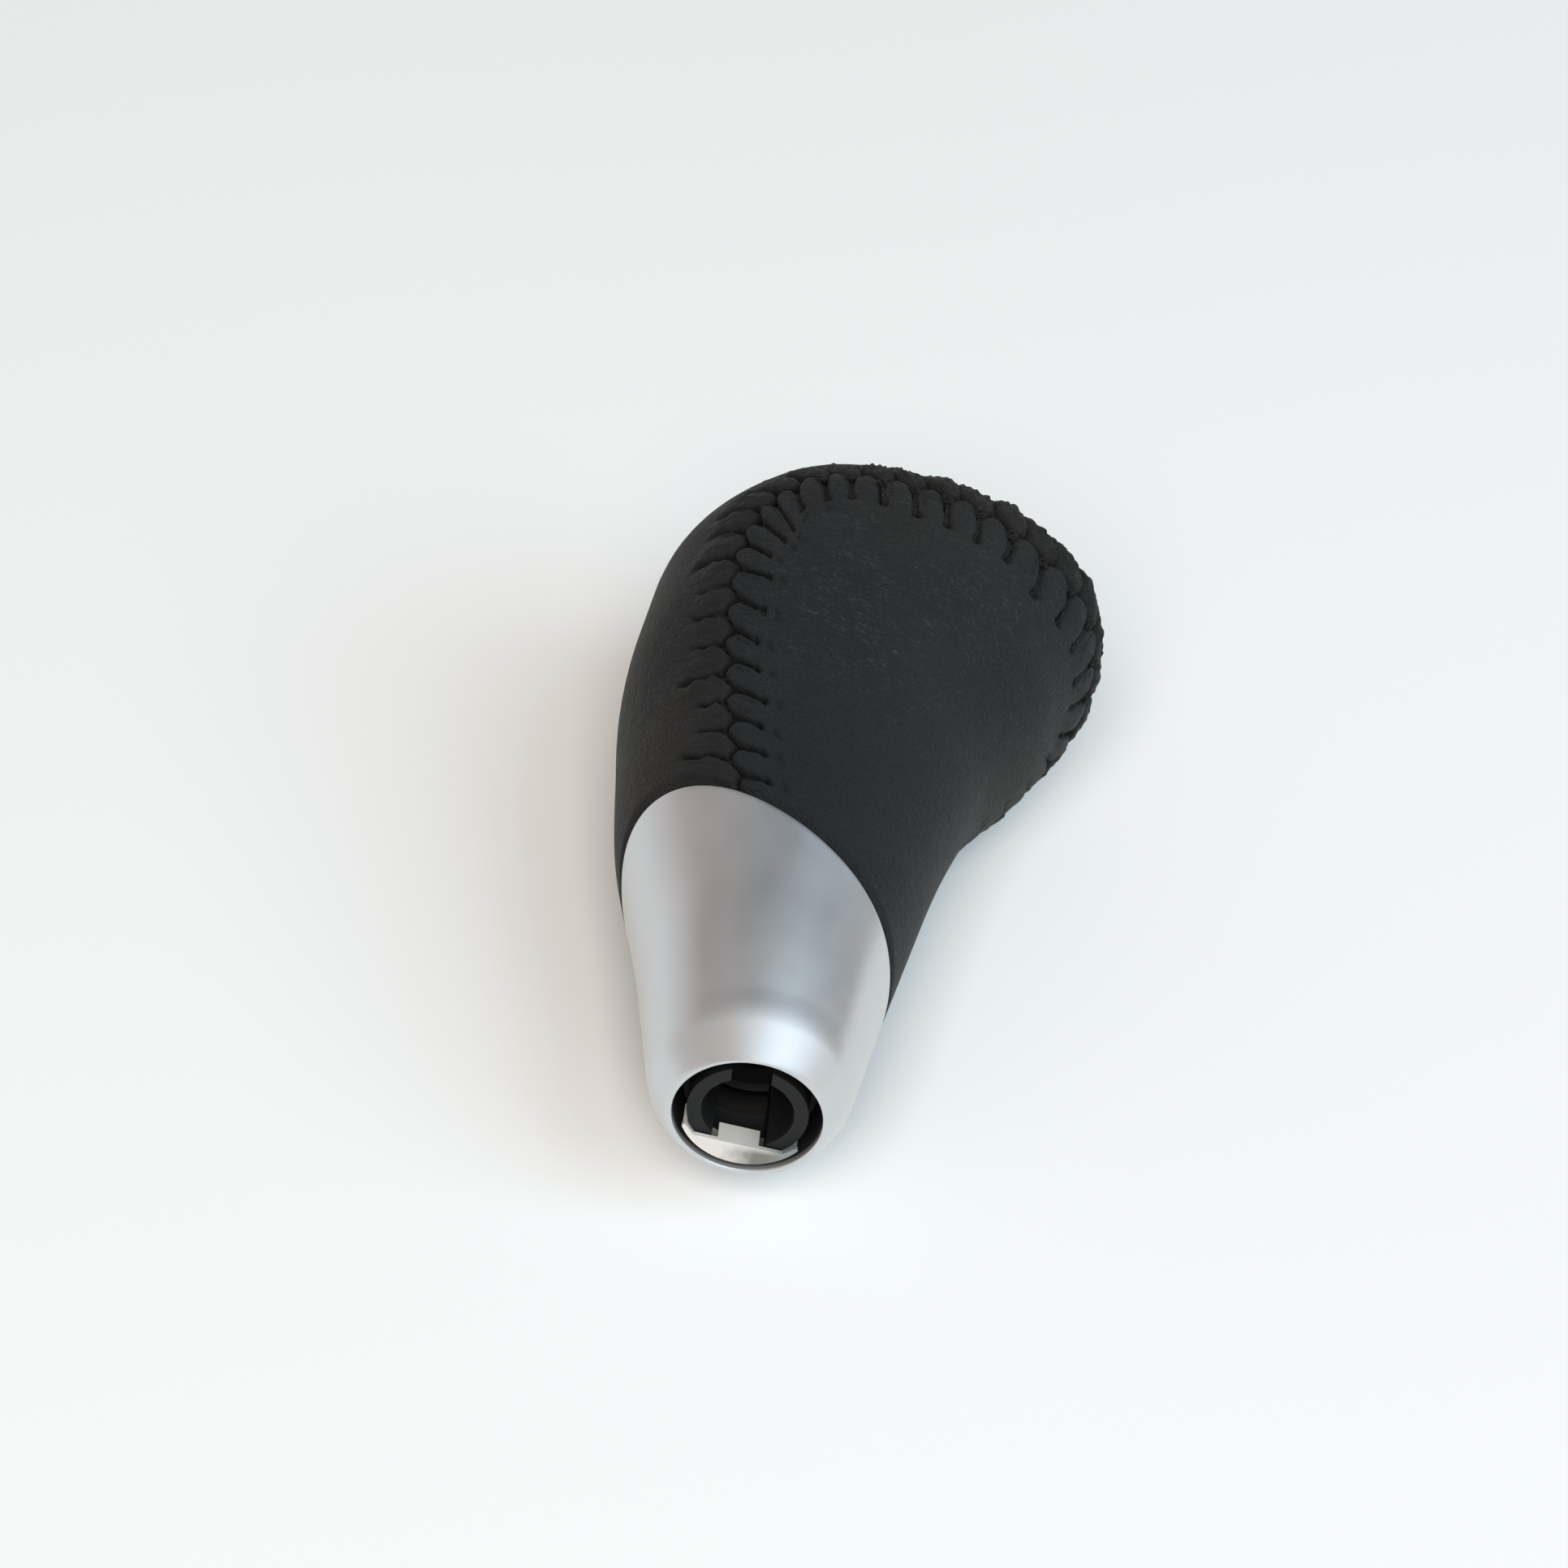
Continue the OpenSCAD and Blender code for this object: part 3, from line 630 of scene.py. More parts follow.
def plated_material(name, base, roughness, metallic=1.0):
    """Plated or oiled steel with fine rolling marks; oiled steel is less metallic"""
    n = Finish(name)
    marks = n.noise(n.place((0.5, 0.5, 9)), 2.5, 3, 0.6)
    n.set(Base_Color=n.toned(base, 0.9, marks, 0.35, 0.65), Metallic=metallic,
          Roughness=n.fit(marks, 0.3, 0.7, roughness, roughness + 0.12), Normal=n.bump(marks, 0.01))
    return n.material


def sprung_material(base):
    """Milky plating of the clip, darker towards one ear"""
    n = Finish("clip steel")
    marks = n.noise(n.drawn((3, 3, 0.4)), 2.5, 3, 0.6)
    split = n.split(n.place())
    # Darker towards one side of the clip and towards the back
    darker_side = n.fit(n.math("ADD", split["X"], n.fit(marks, 0.3, 0.7, -0.6, 0.6)), -2.4, 1.2)
    darker_side = n.math("MULTIPLY", darker_side, n.fit(split["Y"], 4.2, 5.4))
    shade = n.mix(darker_side, base, (0.24, 0.235, 0.21))
    # The ear on the right is made darker and bluer
    shade = n.mix(n.fit(split["X"], 2.6, 4.6), shade, (0.28, 0.32, 0.34))
    n.set(Base_Color=shade, Metallic=0.4, Roughness=n.fit(marks, 0.3, 0.7, 0.34, 0.46),
          Normal=n.bump(marks, 0.01))
    return n.material


def moulded_material(name, base, roughness, grain=0.02):
    """Moulded plastic with a fine spark-eroded texture"""
    n = Finish(name)
    where = n.place()
    eroded = n.noise(where, 5, 3, 0.6)
    n.set(Base_Color=n.toned(base, 0.85, n.noise(where, 0.3, 2)), Specular_IOR_Level=0.3,
          Roughness=n.fit(eroded, 0.3, 0.7, roughness - 0.05, roughness + 0.08),
          Normal=n.bump(eroded, grain))
    return n.material


def foam_material():
    """Open-cell padding"""
    n = Finish("padding foam")
    holes = n.cells(n.place(), 1.6)
    shade = n.mix(n.fit(holes, 0.1, 0.5), (0.36, 0.33, 0.22), (0.62, 0.58, 0.42))
    n.set(Base_Color=shade, Roughness=0.9, Normal=n.bump(holes, 0.2))
    return n.material


# Pieces


def shape():
    grip = Grip(bpy.context.scene.gear_knob.grip)
    return grip, Seam(grip)


def lobe_hash(number, seed):
    """A number from -1 to 1 for each whole number, the same at every run"""
    return np.modf(np.sin(number * 12.9898 + seed * 78.233) * 43758.5453)[0] % 1.0 * 2 - 1


def scallop(seam, at, amount):
    """How far the seam's line swings towards the face, at each place along it"""
    number = np.round(seam.phase(at))
    return amount * np.cos(2 * math.pi * seam.phase(at)) * (1 + 0.2 * lobe_hash(number, 3))


def crown_share(seam, at):
    """1 along the crown, where the rear lobes lie like a rope over the seam, and 0 down both sides"""
    at = seam.mark(at)
    return smooth((at - 44) / 10) * smooth((104 - at) / 14)


def hidden_share(seam, at):
    """1 down the right side, where the seam's gathers lie flatter, and 0 elsewhere"""
    return smooth((seam.mark(at) - 101) / 9)


def gather_reach(seam, at, number, rear):
    """How far from the seam the stitch's hole lies on the face, or the crease runs on the rear"""
    plain = 5.4 if rear else 3.7 + 0.8 * crown_share(seam, at) + 1.3 * np.exp(-(((at - 43) / 5) ** 2))
    return plain * (1 + (0.24 if rear else 0.13) * lobe_hash(number, 5 + rear))


def gathers(seam, at, d, rear, look):
    """Height of the gathered leather over the plain skin at a distance from the folded edge, and a 0 to 1
    mask for the painted shade in its creases, stitch holes and small folds"""
    phase = seam.phase(at) + (0.5 if rear else 0.0)
    number = np.round(phase)
    pitch = seam.curve(seam.pitch, at)
    crown = crown_share(seam, at)
    hidden = hidden_share(seam, at)
    wander = (0.16 if rear else 0.07) * noise(d * 0.9, at * 0.3, 11 + rear) * smooth(d / 1.5)
    q = phase + wander
    side = q - np.round(q)
    y = np.abs(side) * pitch
    lobe = np.clip(2 * np.abs(side), 0, 1)
    pillow = (1 - (1 - lobe) ** 2.6) ** 0.55
    tall = look.rear_pillow if rear else look.face_pillow
    height = tall / MM * (1 + 0.35 * lobe_hash(np.floor(phase), 1 + rear))
    height = height * (1 + (0.7 if rear else 0.0) * crown) * (1 - 0.8 * hidden)
    reach = gather_reach(seam, at, number, rear)
    swell = smooth((d + 0.25) / 1.15) * (1 - smooth((d - 0.4 * reach) / (0.85 * reach)))
    low = 0.3 * height
    fade = 1 - smooth((d - reach + 0.9) / 1.2)
    only_face = 0.0 if rear else 1.0
    depth = look.groove / MM * (1 - 0.3 * crown * only_face) * (1 - 0.8 * hidden)
    width = (0.2 if rear else 0.3) + 0.16 * np.exp(-((d / 1.3) ** 2)) * (1 - crown)
    cut = depth * np.exp(-((y / width) ** 1.7)) * fade * (1.05 - 0.3 * d / reach)
    # Painted shade: a mask that darkens the colour along each crease's groove
    crease_shade = np.exp(-((y / (1.15 * width)) ** 2)) * fade * (1 - 0.75 * hidden)
    # A second, smaller fold beside some of the creases
    lobe_number = np.floor(phase + 0.5)
    twin = side - 0.27 * np.sign(lobe_hash(lobe_number, 13 + rear))
    twin_on = smooth(1.6 * lobe_hash(lobe_number, 17 + rear) + 0.4 + only_face * -0.5)
    twin_at = smooth((d - 0.7) / 0.7) * (1 - smooth((d - 0.62 * reach) / 1.0))
    fold = np.exp(-((twin * pitch / 0.2) ** 2)) * twin_on * twin_at
    cut = cut + 0.28 * fold
    crease_shade = np.maximum(crease_shade, 0.45 * fold)
    if not rear:
        hole = np.exp(-((np.hypot(y * 0.8, d - reach + 0.1) / 0.4) ** 2))
        beyond = np.exp(-((np.hypot(y * 0.7, d - reach - 1.6) / 0.4) ** 2)) * (1 - crown)
        hole = hole * (1 - 0.7 * hidden)
        cut = cut + 0.75 * hole + 0.12 * beyond
        # Painted shade also darkens the stitch holes and the spots just beyond them
        crease_shade = np.maximum(crease_shade, np.maximum(1.2 * hole, 0.5 * beyond))
    wrinkles = 0.11 * noise(at * 1.9, d * 1.0, 21 + rear) + 0.06 * noise(at * 4.5, d * 2.2, 31 + rear)
    if rear:
        rope = np.sin(2 * math.pi * (side * 6 + 0.25 * d + 0.4 * noise(at * 0.7, d * 0.7, 41)))
        wrinkles = wrinkles * 2.6 + 0.13 * crown * rope * smooth(lobe * 3)
    lift = (height * pillow - low) * swell + wrinkles * swell - cut
    return lift, np.clip(crease_shade, 0, 1)


def crease_columns(seam, rear, each):
    """Places of a panel's columns along the seam, drawn together at the creases"""
    share = np.linspace(-1, 1, each, endpoint=False)
    near = 0.5 * np.sign(share) * np.abs(share) ** 1.6
    count = np.arange(-1, len(seam.stitches) + 1)
    beats = (count[:, None] + (0.5 if rear else 0) + near).ravel()
    beats = beats[(beats > -1) & (beats < len(seam.stitches))]
    return np.interp(beats, count, seam.ends())


def leather_panel(rear):
    """Grid of one panel: folded edge, gathers, and the plain leather up to its spine, as a closed shell"""
    grip, seam = shape()
    look = bpy.context.scene.gear_knob.leather
    # Azimuth of the spine, how steeply it climbs and up to what level, plain rows, and columns to a stitch
    spine, climb, fan, plain_rows, each = (216, 1.35, 0.55, 36, 15) if rear else (36, 1.0, -0.35, 20, 18)
    reach, row_step = 7.5, 0.22
    fold = look.fold / MM
    ends = 0.12 * np.arange(8)
    at = crease_columns(seam, rear, each)
    at = np.concatenate([ends, at[(at > 1) & (at < seam.length - 1)], seam.length - ends[::-1]])
    columns = np.arange(len(at))
    ways = seam.columns(grip, at, rear, reach + 1)
    folded = fold * (1 - np.cos(np.linspace(0, math.pi / 2, 7)))
    hem = np.minimum(at, seam.length - at)
    swing = scallop(seam, at, look.scallop / MM) * smooth(hem / 1.5) * (-1 if rear else 1)
    fs, ws, sunk, uv_d, marks = [], [], [], [], []
    for x in np.concatenate([folded, np.arange(fold + row_step, reach, row_step)]):
        d = x + 0.03 + swing * math.exp(-((x / 1.8) ** 2))
        f, w = evened(*ways.at(d, columns), int(13 * max(0, x - 3.6)))
        fs.append(f)
        ws.append(w)
        rim = fold * (1 - math.sqrt(max(0, 1 - (1 - min(x / fold, 1)) ** 2)))
        lift, crease_shade = gathers(seam, at, np.full_like(at, x), rear, look)
        sunk.append(rim - lift * smooth(hem / 1.2))
        # Painted shade: the mark is high in the creases and along the folded edge at the seam
        marks.append(np.maximum(crease_shade, 1 - smooth(x / 0.5)) * smooth(hem / 1.2))
        uv_d.append(x)
    _, w_here = seam.place(at)
    _, w_there = seam.place(seam.length - at)
    w_end = np.minimum(climb * ((w_here + w_there) / 2 + grip.leg) - grip.leg, fan)
    a, b = globe(fs[-1], ws[-1]), globe(np.full_like(at, math.radians(spine)), w_end)
    flat = np.array([1, 1, 0])
    above_a, above_b = (np.where(v[..., 2:] > 0, v, v * flat) for v in (a, b))
    turn = np.arccos(np.clip(np.sum(unit(above_a) * unit(above_b), -1), -1, 1))
    safe = np.maximum(turn, 0.02)
    for t in np.linspace(0, 1, plain_rows)[1:]:
        part = 0.5 + np.tan((t - 0.5) * safe) / (2 * np.tan(safe / 2))
        f, w = evened(*unglobe(a + (b - a) * part[:, None]), 60)
        fs.append(f)
        ws.append(w)
        sunk.append(np.zeros_like(at))
        marks.append(np.zeros_like(at))
        uv_d.append(reach + 20 * t)
    fs, ws, sunk = np.array(fs), np.array(ws), np.array(sunk)
    above = grip.level_z(fs, ws) - grip.hem_z(fs)
    sunk = sunk + 0.75 * (1 - smooth(above / 1.3))
    outer = grip.at(fs, ws, sunk)
    inner = grip.at(fs, ws, np.maximum(sunk, 0) * 0.3 + look.thickness / MM)
    rows, count = sunk.shape
    outside = ring_faces(rows, count, closed=False)
    inside = outside[:, ::-1] + sunk.size
    down = np.arange(1, rows) * count
    border = np.concatenate([down[::-1], columns, down + count - 1])
    border, after = border[:-1], border[1:]
    side = np.stack([after, border, border + sunk.size, after + sunk.size], -1)
    faces = np.concatenate([outside, inside, side])
    if not rear:
        faces = faces[:, ::-1]
    uv = np.stack(np.broadcast_arrays(at, np.array(uv_d)[:, None]), -1).reshape(-1, 2) / 10
    thing = mesh_object("rear_leather" if rear else "face_leather", np.concatenate([outer, inner]), faces,
                        uv=np.tile(uv, (2, 1)), marks={"crease_shade": np.tile(np.array(marks).ravel(), 2)})
    weld(thing, 0.002)
    return thing


def weld(thing, distance, outwards=False, cuts=0):
    """Merges doubles closer than distance in millimetres, and can cut faces finer and turn them outwards"""
    work = bmesh.new()
    work.from_mesh(thing.data)
    bmesh.ops.remove_doubles(work, verts=work.verts, dist=distance * MM)
    if cuts:
        bmesh.ops.subdivide_edges(work, edges=work.edges, cuts=cuts, use_grid_fill=True)
    if outwards:
        bmesh.ops.recalc_face_normals(work, faces=work.faces)
    work.to_mesh(thing.data)
    work.free()
    thing.data.update()


class KNOB_OT_leather(Operator):
    """Make the face and rear leather panels with their gathers"""

    bl_idname = "gear_knob.leather"
    bl_label = "Leather"

    def execute(self, context):
        look = context.scene.gear_knob.leather
        face = leather_material("face leather", look.face_colour, (0.015, 0.0138, 0.0128), (11, -22, 66))
        rear = leather_material("rear leather", look.rear_colour, (0.0165, 0.0146, 0.013), (-20, 4, 60))
        finish_piece(leather_panel(False), face, "leather_face_panel")
        finish_piece(leather_panel(True), rear, "leather_rear_panel")
        return {"FINISHED"}


def lacing_tree():
    """Geometry nodes: lines become legs of strands twisted round each other"""
    group = bpy.data.node_groups.new("Lacing", "GeometryNodeTree")
    sockets = group.interface
    sockets.new_socket("Geometry", in_out="INPUT", socket_type="NodeSocketGeometry")
    inputs = {}
    for label, kind in (("Strand Width", "Float"), ("Strands", "Int"), ("Twist", "Float"),
                        ("Material", "Material")):
        inputs[label] = sockets.new_socket(label, in_out="INPUT", socket_type="NodeSocket" + kind).identifier
    sockets.new_socket("Geometry", in_out="OUTPUT", socket_type="NodeSocketGeometry")
    t = Tree(group)
    source = t.add("NodeGroupInput").outputs
    width = source["Strand Width"]
    lines = t.out("GeometryNodeMeshToCurve", {"Mesh": source["Geometry"]})
    copies = t.add("GeometryNodeDuplicateElements", {"Geometry": lines, "Amount": source["Strands"]},
                   domain="SPLINE").outputs
    turn = t.math("MULTIPLY", t.out("GeometryNodeSplineParameter", output="Factor"), source["Twist"])
    portion = t.math("DIVIDE", copies["Duplicate Index"], source["Strands"])
    angle = t.math("MULTIPLY", t.math("ADD", turn, portion), 2 * math.pi)
    spin = t.out("ShaderNodeVectorRotate", {"Vector": t.out("GeometryNodeInputNormal"), "Angle": angle,
                                            "Axis": t.out("GeometryNodeInputTangent")},
                 rotation_type="AXIS_ANGLE")
    offset = t.math("MULTIPLY", width, 0.46)
    push = t.out("ShaderNodeVectorMath", {0: spin, "Scale": offset}, operation="SCALE")
    moved = t.out("GeometryNodeSetPosition", {"Geometry": copies["Geometry"], "Offset": push})
    radius = t.math("MULTIPLY", width, 0.5)
    ring = t.out("GeometryNodeCurvePrimitiveCircle", {"Resolution": 6, "Radius": radius}, mode="RADIUS")
    tube = t.out("GeometryNodeCurveToMesh", {"Curve": moved, "Profile Curve": ring, "Fill Caps": True})
    shape = t.out("GeometryNodeSetShadeSmooth", {"Geometry": tube})
    shape = t.out("GeometryNodeRealizeInstances", {0: shape})
    shape = t.out("GeometryNodeSetMaterial", {"Geometry": shape, "Material": source["Material"]})
    t.add("NodeGroupOutput", {0: shape})
    return group, inputs


def grow(thing, tree, inputs, values):
    """Runs a geometry tree on an object and keeps the result as its plain mesh"""
    modifier = thing.modifiers.new("Growth", "NODES")
    modifier.node_group = tree
    for label, value in values.items():
        modifier[inputs[label]] = value
    bpy.context.view_layer.update()
    shaped = thing.evaluated_get(bpy.context.evaluated_depsgraph_get())
    mesh = bpy.data.meshes.new_from_object(shaped)
    thing.modifiers.remove(modifier)
    thing.data = mesh


def leg_lines(grip, seam, rear, look):
    """Centre lines of the stitches' legs, from under the seam to their holes, and of the crown's knots"""
    at = seam.stitches if not rear else (seam.stitches[:-1] + seam.stitches[1:]) / 2
    at = at[(at > 1.5) & (at < seam.length - 1.5)]
    ways = seam.columns(grip, np.concatenate([[0], at, [seam.length]]), rear, 8)
    legs, knots = [], []
    for k, here in enumerate(at):
        number = k if not rear else k + 1
        crown = float(crown_share(seam, here))
        reach = float(gather_reach(seam, here, number, rear))
        d = np.linspace(-0.3 if not rear else 0.2, reach, 17)
        f, w = ways.at(d, k + 1)
        lift, _ = gathers(seam, np.full_like(d, here), np.maximum(d, 0), rear, look)
        proud = 0.6 * crown - 0.32 if not rear else -0.32
        sunk = np.minimum(-lift - proud, 0.75)
        sunk = sunk + (0.9 - 0.75 * crown) * np.exp(-((np.maximum(d, 0) / 0.35) ** 2)) * (not rear)
        sunk = sunk + 0.9 * smooth((d - reach + 0.4) / 0.4)
        legs.append(grip.at(f, w, sunk))
        if not rear and crown > 0.2:
            knots.append(knot_line(grip, ways, k + 1, crown, number))
    return legs, knots


def knot_line(grip, ways, column, crown, number):
    """The thread's turn round itself at the head of a leg on the crown"""
    turn = np.linspace(0, 2 * math.pi * 1.4, 26)
    middle = 1.15 + 0.15 * lobe_hash(number, 9)
    f, w = ways.at(middle + 0.55 * np.cos(turn) * (1 - 0.25 * turn / turn[-1]), column)
    by_f, _ = grip.turns(f, w)
    aside = 0.42 * np.sin(turn) - 0.35 * turn / turn[-1]
    f = f + aside / np.maximum(np.linalg.norm(by_f, axis=-1), 1)
    return grip.at(f, w, -0.42 - 0.18 * np.sin(turn * 2.3 + number) * crown)


def line_object(name, lines):
    mesh = bpy.data.meshes.new(name)
    points, edges = [], []
    for line in lines:
        edges += [(len(points) + i, len(points) + i + 1) for i in range(len(line) - 1)]
        points += [tuple(p * MM) for p in line]
    mesh.from_pydata(points, edges, [])
    thing = bpy.data.objects.new(name, mesh)
    bpy.context.scene.collection.objects.link(thing)
    return thing


class KNOB_OT_lacing(Operator):
    """Lace the seam: the legs of every stitch, twisted from strands"""

    bl_idname = "gear_knob.lacing"
    bl_label = "Lacing"

    def execute(self, context):
        knob = context.scene.gear_knob
        grip, seam = shape()
        face_legs, knots = leg_lines(grip, seam, False, knob.leather)
        rear_legs, _ = leg_lines(grip, seam, True, knob.leather)
        thing = line_object("seam_lacing", face_legs + rear_legs + knots)
        material = thread_material(knob.lacing.colour)
        tree, inputs = lacing_tree()
        grow(thing, tree, inputs, {"Strand Width": knob.lacing.width, "Strands": knob.lacing.strands,
                                   "Twist": knob.lacing.twist, "Material": material})
        if not thing.data.polygons:
            raise RuntimeError("the lacing came out empty")
        finish_piece(thing, material, "seam_thread")
        return {"FINISHED"}


class KNOB_OT_collar(Operator):
    """Make the satin metal collar with its slanted edge and round mouth"""

    bl_idname = "gear_knob.collar"
    bl_label = "Collar"

    def execute(self, context):
        knob = context.scene.gear_knob
        grip, _ = shape()
        f = np.linspace(0, 2 * math.pi, 288, endpoint=False)
        edge, wall, foot = grip.edge_z(f), grip.collar_wall, 2 * grip.nose_h
        edge_round, chamfer, bottom, rim_round = 0.35, 0.2, 0.22, 0.2
        web_low, web_high, hole_r, mouth_r = 9.0, 11.0, 7.15, grip.rim_d / 2 - 0.6

        def round_ring(r, z):
            return np.stack([r * np.sin(f), -r * np.cos(f), np.full_like(f, z)], -1)

        rings = [grip.skin(f, z) for z in np.linspace(bottom, foot, 40)]
        rings += [grip.skin(f, foot + s * (edge - edge_round - foot)) for s in np.linspace(0, 1, 60)[1:]]
        for a in np.linspace(0, math.pi / 2, 7)[1:]:
            below, sunk = edge_round * (1 - math.sin(a)), edge_round * (1 - math.cos(a))
            rings.append(grip.skin(f, edge - below, sunk))
        tall = edge - chamfer - web_high
        rings += [grip.skin(f, edge, wall - chamfer), grip.skin(f, edge - chamfer, wall)]
        rings += [grip.skin(f, web_high + s * tall, wall) for s in (0.7, 0.4, 0.15, 0)]
        bright = len(rings)
        rings += [round_ring(hole_r, web_high), round_ring(hole_r, web_low), round_ring(mouth_r, web_low)]
        rings += [round_ring(mouth_r, z) for z in (6, 3, 1, rim_round)]
        # Painted shade: the faces inside the mouth are marked to be painted near black
        inside_shade = [0.0] * bright + [1.0] * (len(rings) - bright - 1) + [0.5]
        half = (grip.rim_d / 2 - mouth_r) / 2
        for a in np.linspace(0, math.pi, 9)[1:-1]:
            rings.append(round_ring(mouth_r + half * (1 - math.cos(a)), rim_round * (1 - math.sin(a))))
        inside_shade = np.repeat(inside_shade + [0.0] * (len(rings) - len(inside_shade)), len(f))
        faces = ring_faces(len(rings), len(f), loop=True)
        thing = mesh_object("satin_collar", np.concatenate(rings), faces, marks={"inside": inside_shade})
        weld(thing, 0.001, outwards=True)
        metal = satin_material(knob.metal.collar_colour, knob.metal.collar_roughness)
        finish_piece(thing, metal, "collar")
        return {"FINISHED"}


class KNOB_OT_socket(Operator):
    """Finish the nylon lever socket and the rubber pad in its bore"""

    bl_idname = "gear_knob.socket"
    bl_label = "Lever socket"

    def execute(self, context):
        metal = context.scene.gear_knob.metal
        dress(bpy.data.objects["lever_socket"], moulded_material("socket nylon", metal.nylon_colour, 0.6))
        dress(bpy.data.objects["bore_damper"], moulded_material("damper rubber", (0.012, 0.012, 0.012), 0.8))
        return {"FINISHED"}


class KNOB_OT_clip(Operator):
    """Finish the spring clip in the mouth"""

    bl_idname = "gear_knob.clip"
    bl_label = "Spring clip"

    def execute(self, context):
        metal = context.scene.gear_knob.metal
        dress(bpy.data.objects["retaining_clip"], sprung_material(metal.clip_colour))
        return {"FINISHED"}


class KNOB_OT_inside(Operator):
    """Finish the core, its screws, the padding and the snap ring"""

    bl_idname = "gear_knob.inside"
    bl_label = "Inner parts"

    def execute(self, context):
        core = moulded_material("core plastic", (0.035, 0.037, 0.04), 0.55, 0.05)
        steel = plated_material("zinc steel", (0.62, 0.62, 0.6), 0.3)
        # Painted shade: the snap ring inside the collar is made near black
        ring_shade_steel = plated_material("black steel as painted shade", (0.02, 0.02, 0.02), 0.5, 0.2)
        foam = foam_material()
        for node, material in (("core_front_half", core), ("core_rear_half", core), ("core_screws", steel),
                               ("collar_ring", ring_shade_steel)):
            dress(bpy.data.objects[node], material)
        for node, name in (("foam_face_pad", "face_padding"), ("foam_rear_pad", "rear_padding")):
            pad = foam_pad(bpy.data.objects[node], name)
            finish_piece(pad, foam, node)
        return {"FINISHED"}


def foam_pad(solid, name):
    """Cut foam in the space of its solid: finer faces, and a skin that gives a little here and there"""
    thing = bpy.data.objects.new(name, solid.data.copy())
    bpy.context.scene.collection.objects.link(thing)
    thing.matrix_world = solid.matrix_world
    weld(thing, 0.001, outwards=True, cuts=1)
    mesh = thing.data
    points, normals = np.empty((2, len(mesh.vertices), 3))
    mesh.vertices.foreach_get("co", points.ravel())
    mesh.vertex_normals.foreach_get("vector", normals.ravel())
    x, y, z = (points / MM).T
    give = 0.11 + 0.09 * noise(0.9 * x + 0.4 * z, 0.8 * z - 0.5 * y, 51)
    mesh.vertices.foreach_set("co", (points - normals * give[:, None] * MM).ravel())
    mesh.update()
    return thing


# Stage


LAMPS_AIM = Vector((0, 0, 0.04))
TABLE_SIZE = 900
# Just behind the rear leather that rests on it
TABLE_BACK = 17.05
# Camera, from a fit to the photograph: its place in millimetres, the ways to its right and back from it
CAMERA_PLACE = Vector((-0.4, -277.2, -269.5))
CAMERA_RIGHT = Vector((0.993, -0.093, 0.079))
CAMERA_BEHIND = Vector((0, -0.651, -0.759))
# Room that the metal mirrors: colours by degrees round from the front to the right. NEAR_ROOM lies below and
# FAR_ROOM above the heights of ROOM_TURN, and no part of a colour is over ROOM_PEAK
ROOM_PEAK = 2.5
ROOM_TURN = (0.33, 0.41)
NEAR_ROOM = [(-180, (0.92, 0.94, 0.97)), (-105, (0.78, 0.80, 0.84)), (-80, (0.66, 0.62, 0.58)),
             (-45, (0.60, 0.55, 0.51)), (-5, (0.86, 0.86, 0.84)), (30, (1.65, 1.9, 2.1)),
             (60, (1.02, 1.1, 1.15)), (84, (0.76, 0.78, 0.78)), (180, (0.95, 0.97, 1.0))]
FAR_ROOM = [(-180, (0.92, 0.94, 0.97)), (-112, (0.86, 0.89, 0.94)), (-92, (0.80, 0.80, 0.82)),
            (-74, (0.68, 0.62, 0.60)), (-56, (0.30, 0.23, 0.22)), (-38, (0.48, 0.45, 0.45)),
            (0, (0.06, 0.08, 0.10)), (58, (0.37, 0.41, 0.45)), (92, (0.42, 0.41, 0.39)),
            (108, (0.80, 0.80, 0.79)), (180, (0.95, 0.97, 1.0))]


def lamp(name, place, size, power, tint):
    """A soft lamp that lights the knob but isn't mirrored in its metal"""
    data = bpy.data.lights.new(name, "AREA")
    data.shape = "SQUARE"
    data.size = size
    data.energy = power
    data.color = tint
    thing = bpy.data.objects.new(name, data)
    thing.location = place
    thing.rotation_euler = (LAMPS_AIM - thing.location).to_track_quat("-Z", "Y").to_euler()
    thing.visible_glossy = False
    bpy.context.scene.collection.objects.link(thing)


def room_light(world, look):
    """Pale background for the camera, warm even light, and a room with a window for what shines"""
    world.use_nodes = True
    t = Tree(world.node_tree)
    way = t.add("ShaderNodeSeparateXYZ", {0: t.out("ShaderNodeTexCoord", output="Generated")}).outputs
    turn = t.math("ARCTAN2", way["X"], t.math("MULTIPLY", way["Y"], -1))
    around = t.math("ADD", t.math("MULTIPLY", turn, 0.5 / math.pi), 0.5)
    rooms = []
    for stops in (NEAR_ROOM, FAR_ROOM):
        ramp = t.add("ShaderNodeValToRGB", {0: around})
        ramp.color_ramp.interpolation = "B_SPLINE"
        items = ramp.color_ramp.elements
        while len(items) < len(stops):
            items.new(0.5)
        for item, (degrees, tint) in zip(items, stops):
            item.position = degrees / 360 + 0.5
            item.color = (*(part / ROOM_PEAK for part in tint), 1)
        rooms.append(ramp.outputs["Color"])
    room = t.mix(t.fit(way["Z"], *ROOM_TURN, interpolation_type="SMOOTHSTEP"), *rooms)
    shine = t.out("ShaderNodeBackground", {"Color": room, "Strength": ROOM_PEAK})
    even = t.out("ShaderNodeBackground", {"Color": look.room_colour})
    seen = t.out("ShaderNodeBackground", {"Color": look.sky_colour})
    path = t.add("ShaderNodeLightPath").outputs
    light = t.out("ShaderNodeMixShader", {0: path["Is Glossy Ray"], 1: even, 2: shine})
    light = t.out("ShaderNodeMixShader", {0: path["Is Camera Ray"], 1: light, 2: seen})
    t.add("ShaderNodeOutputWorld", {"Surface": light})


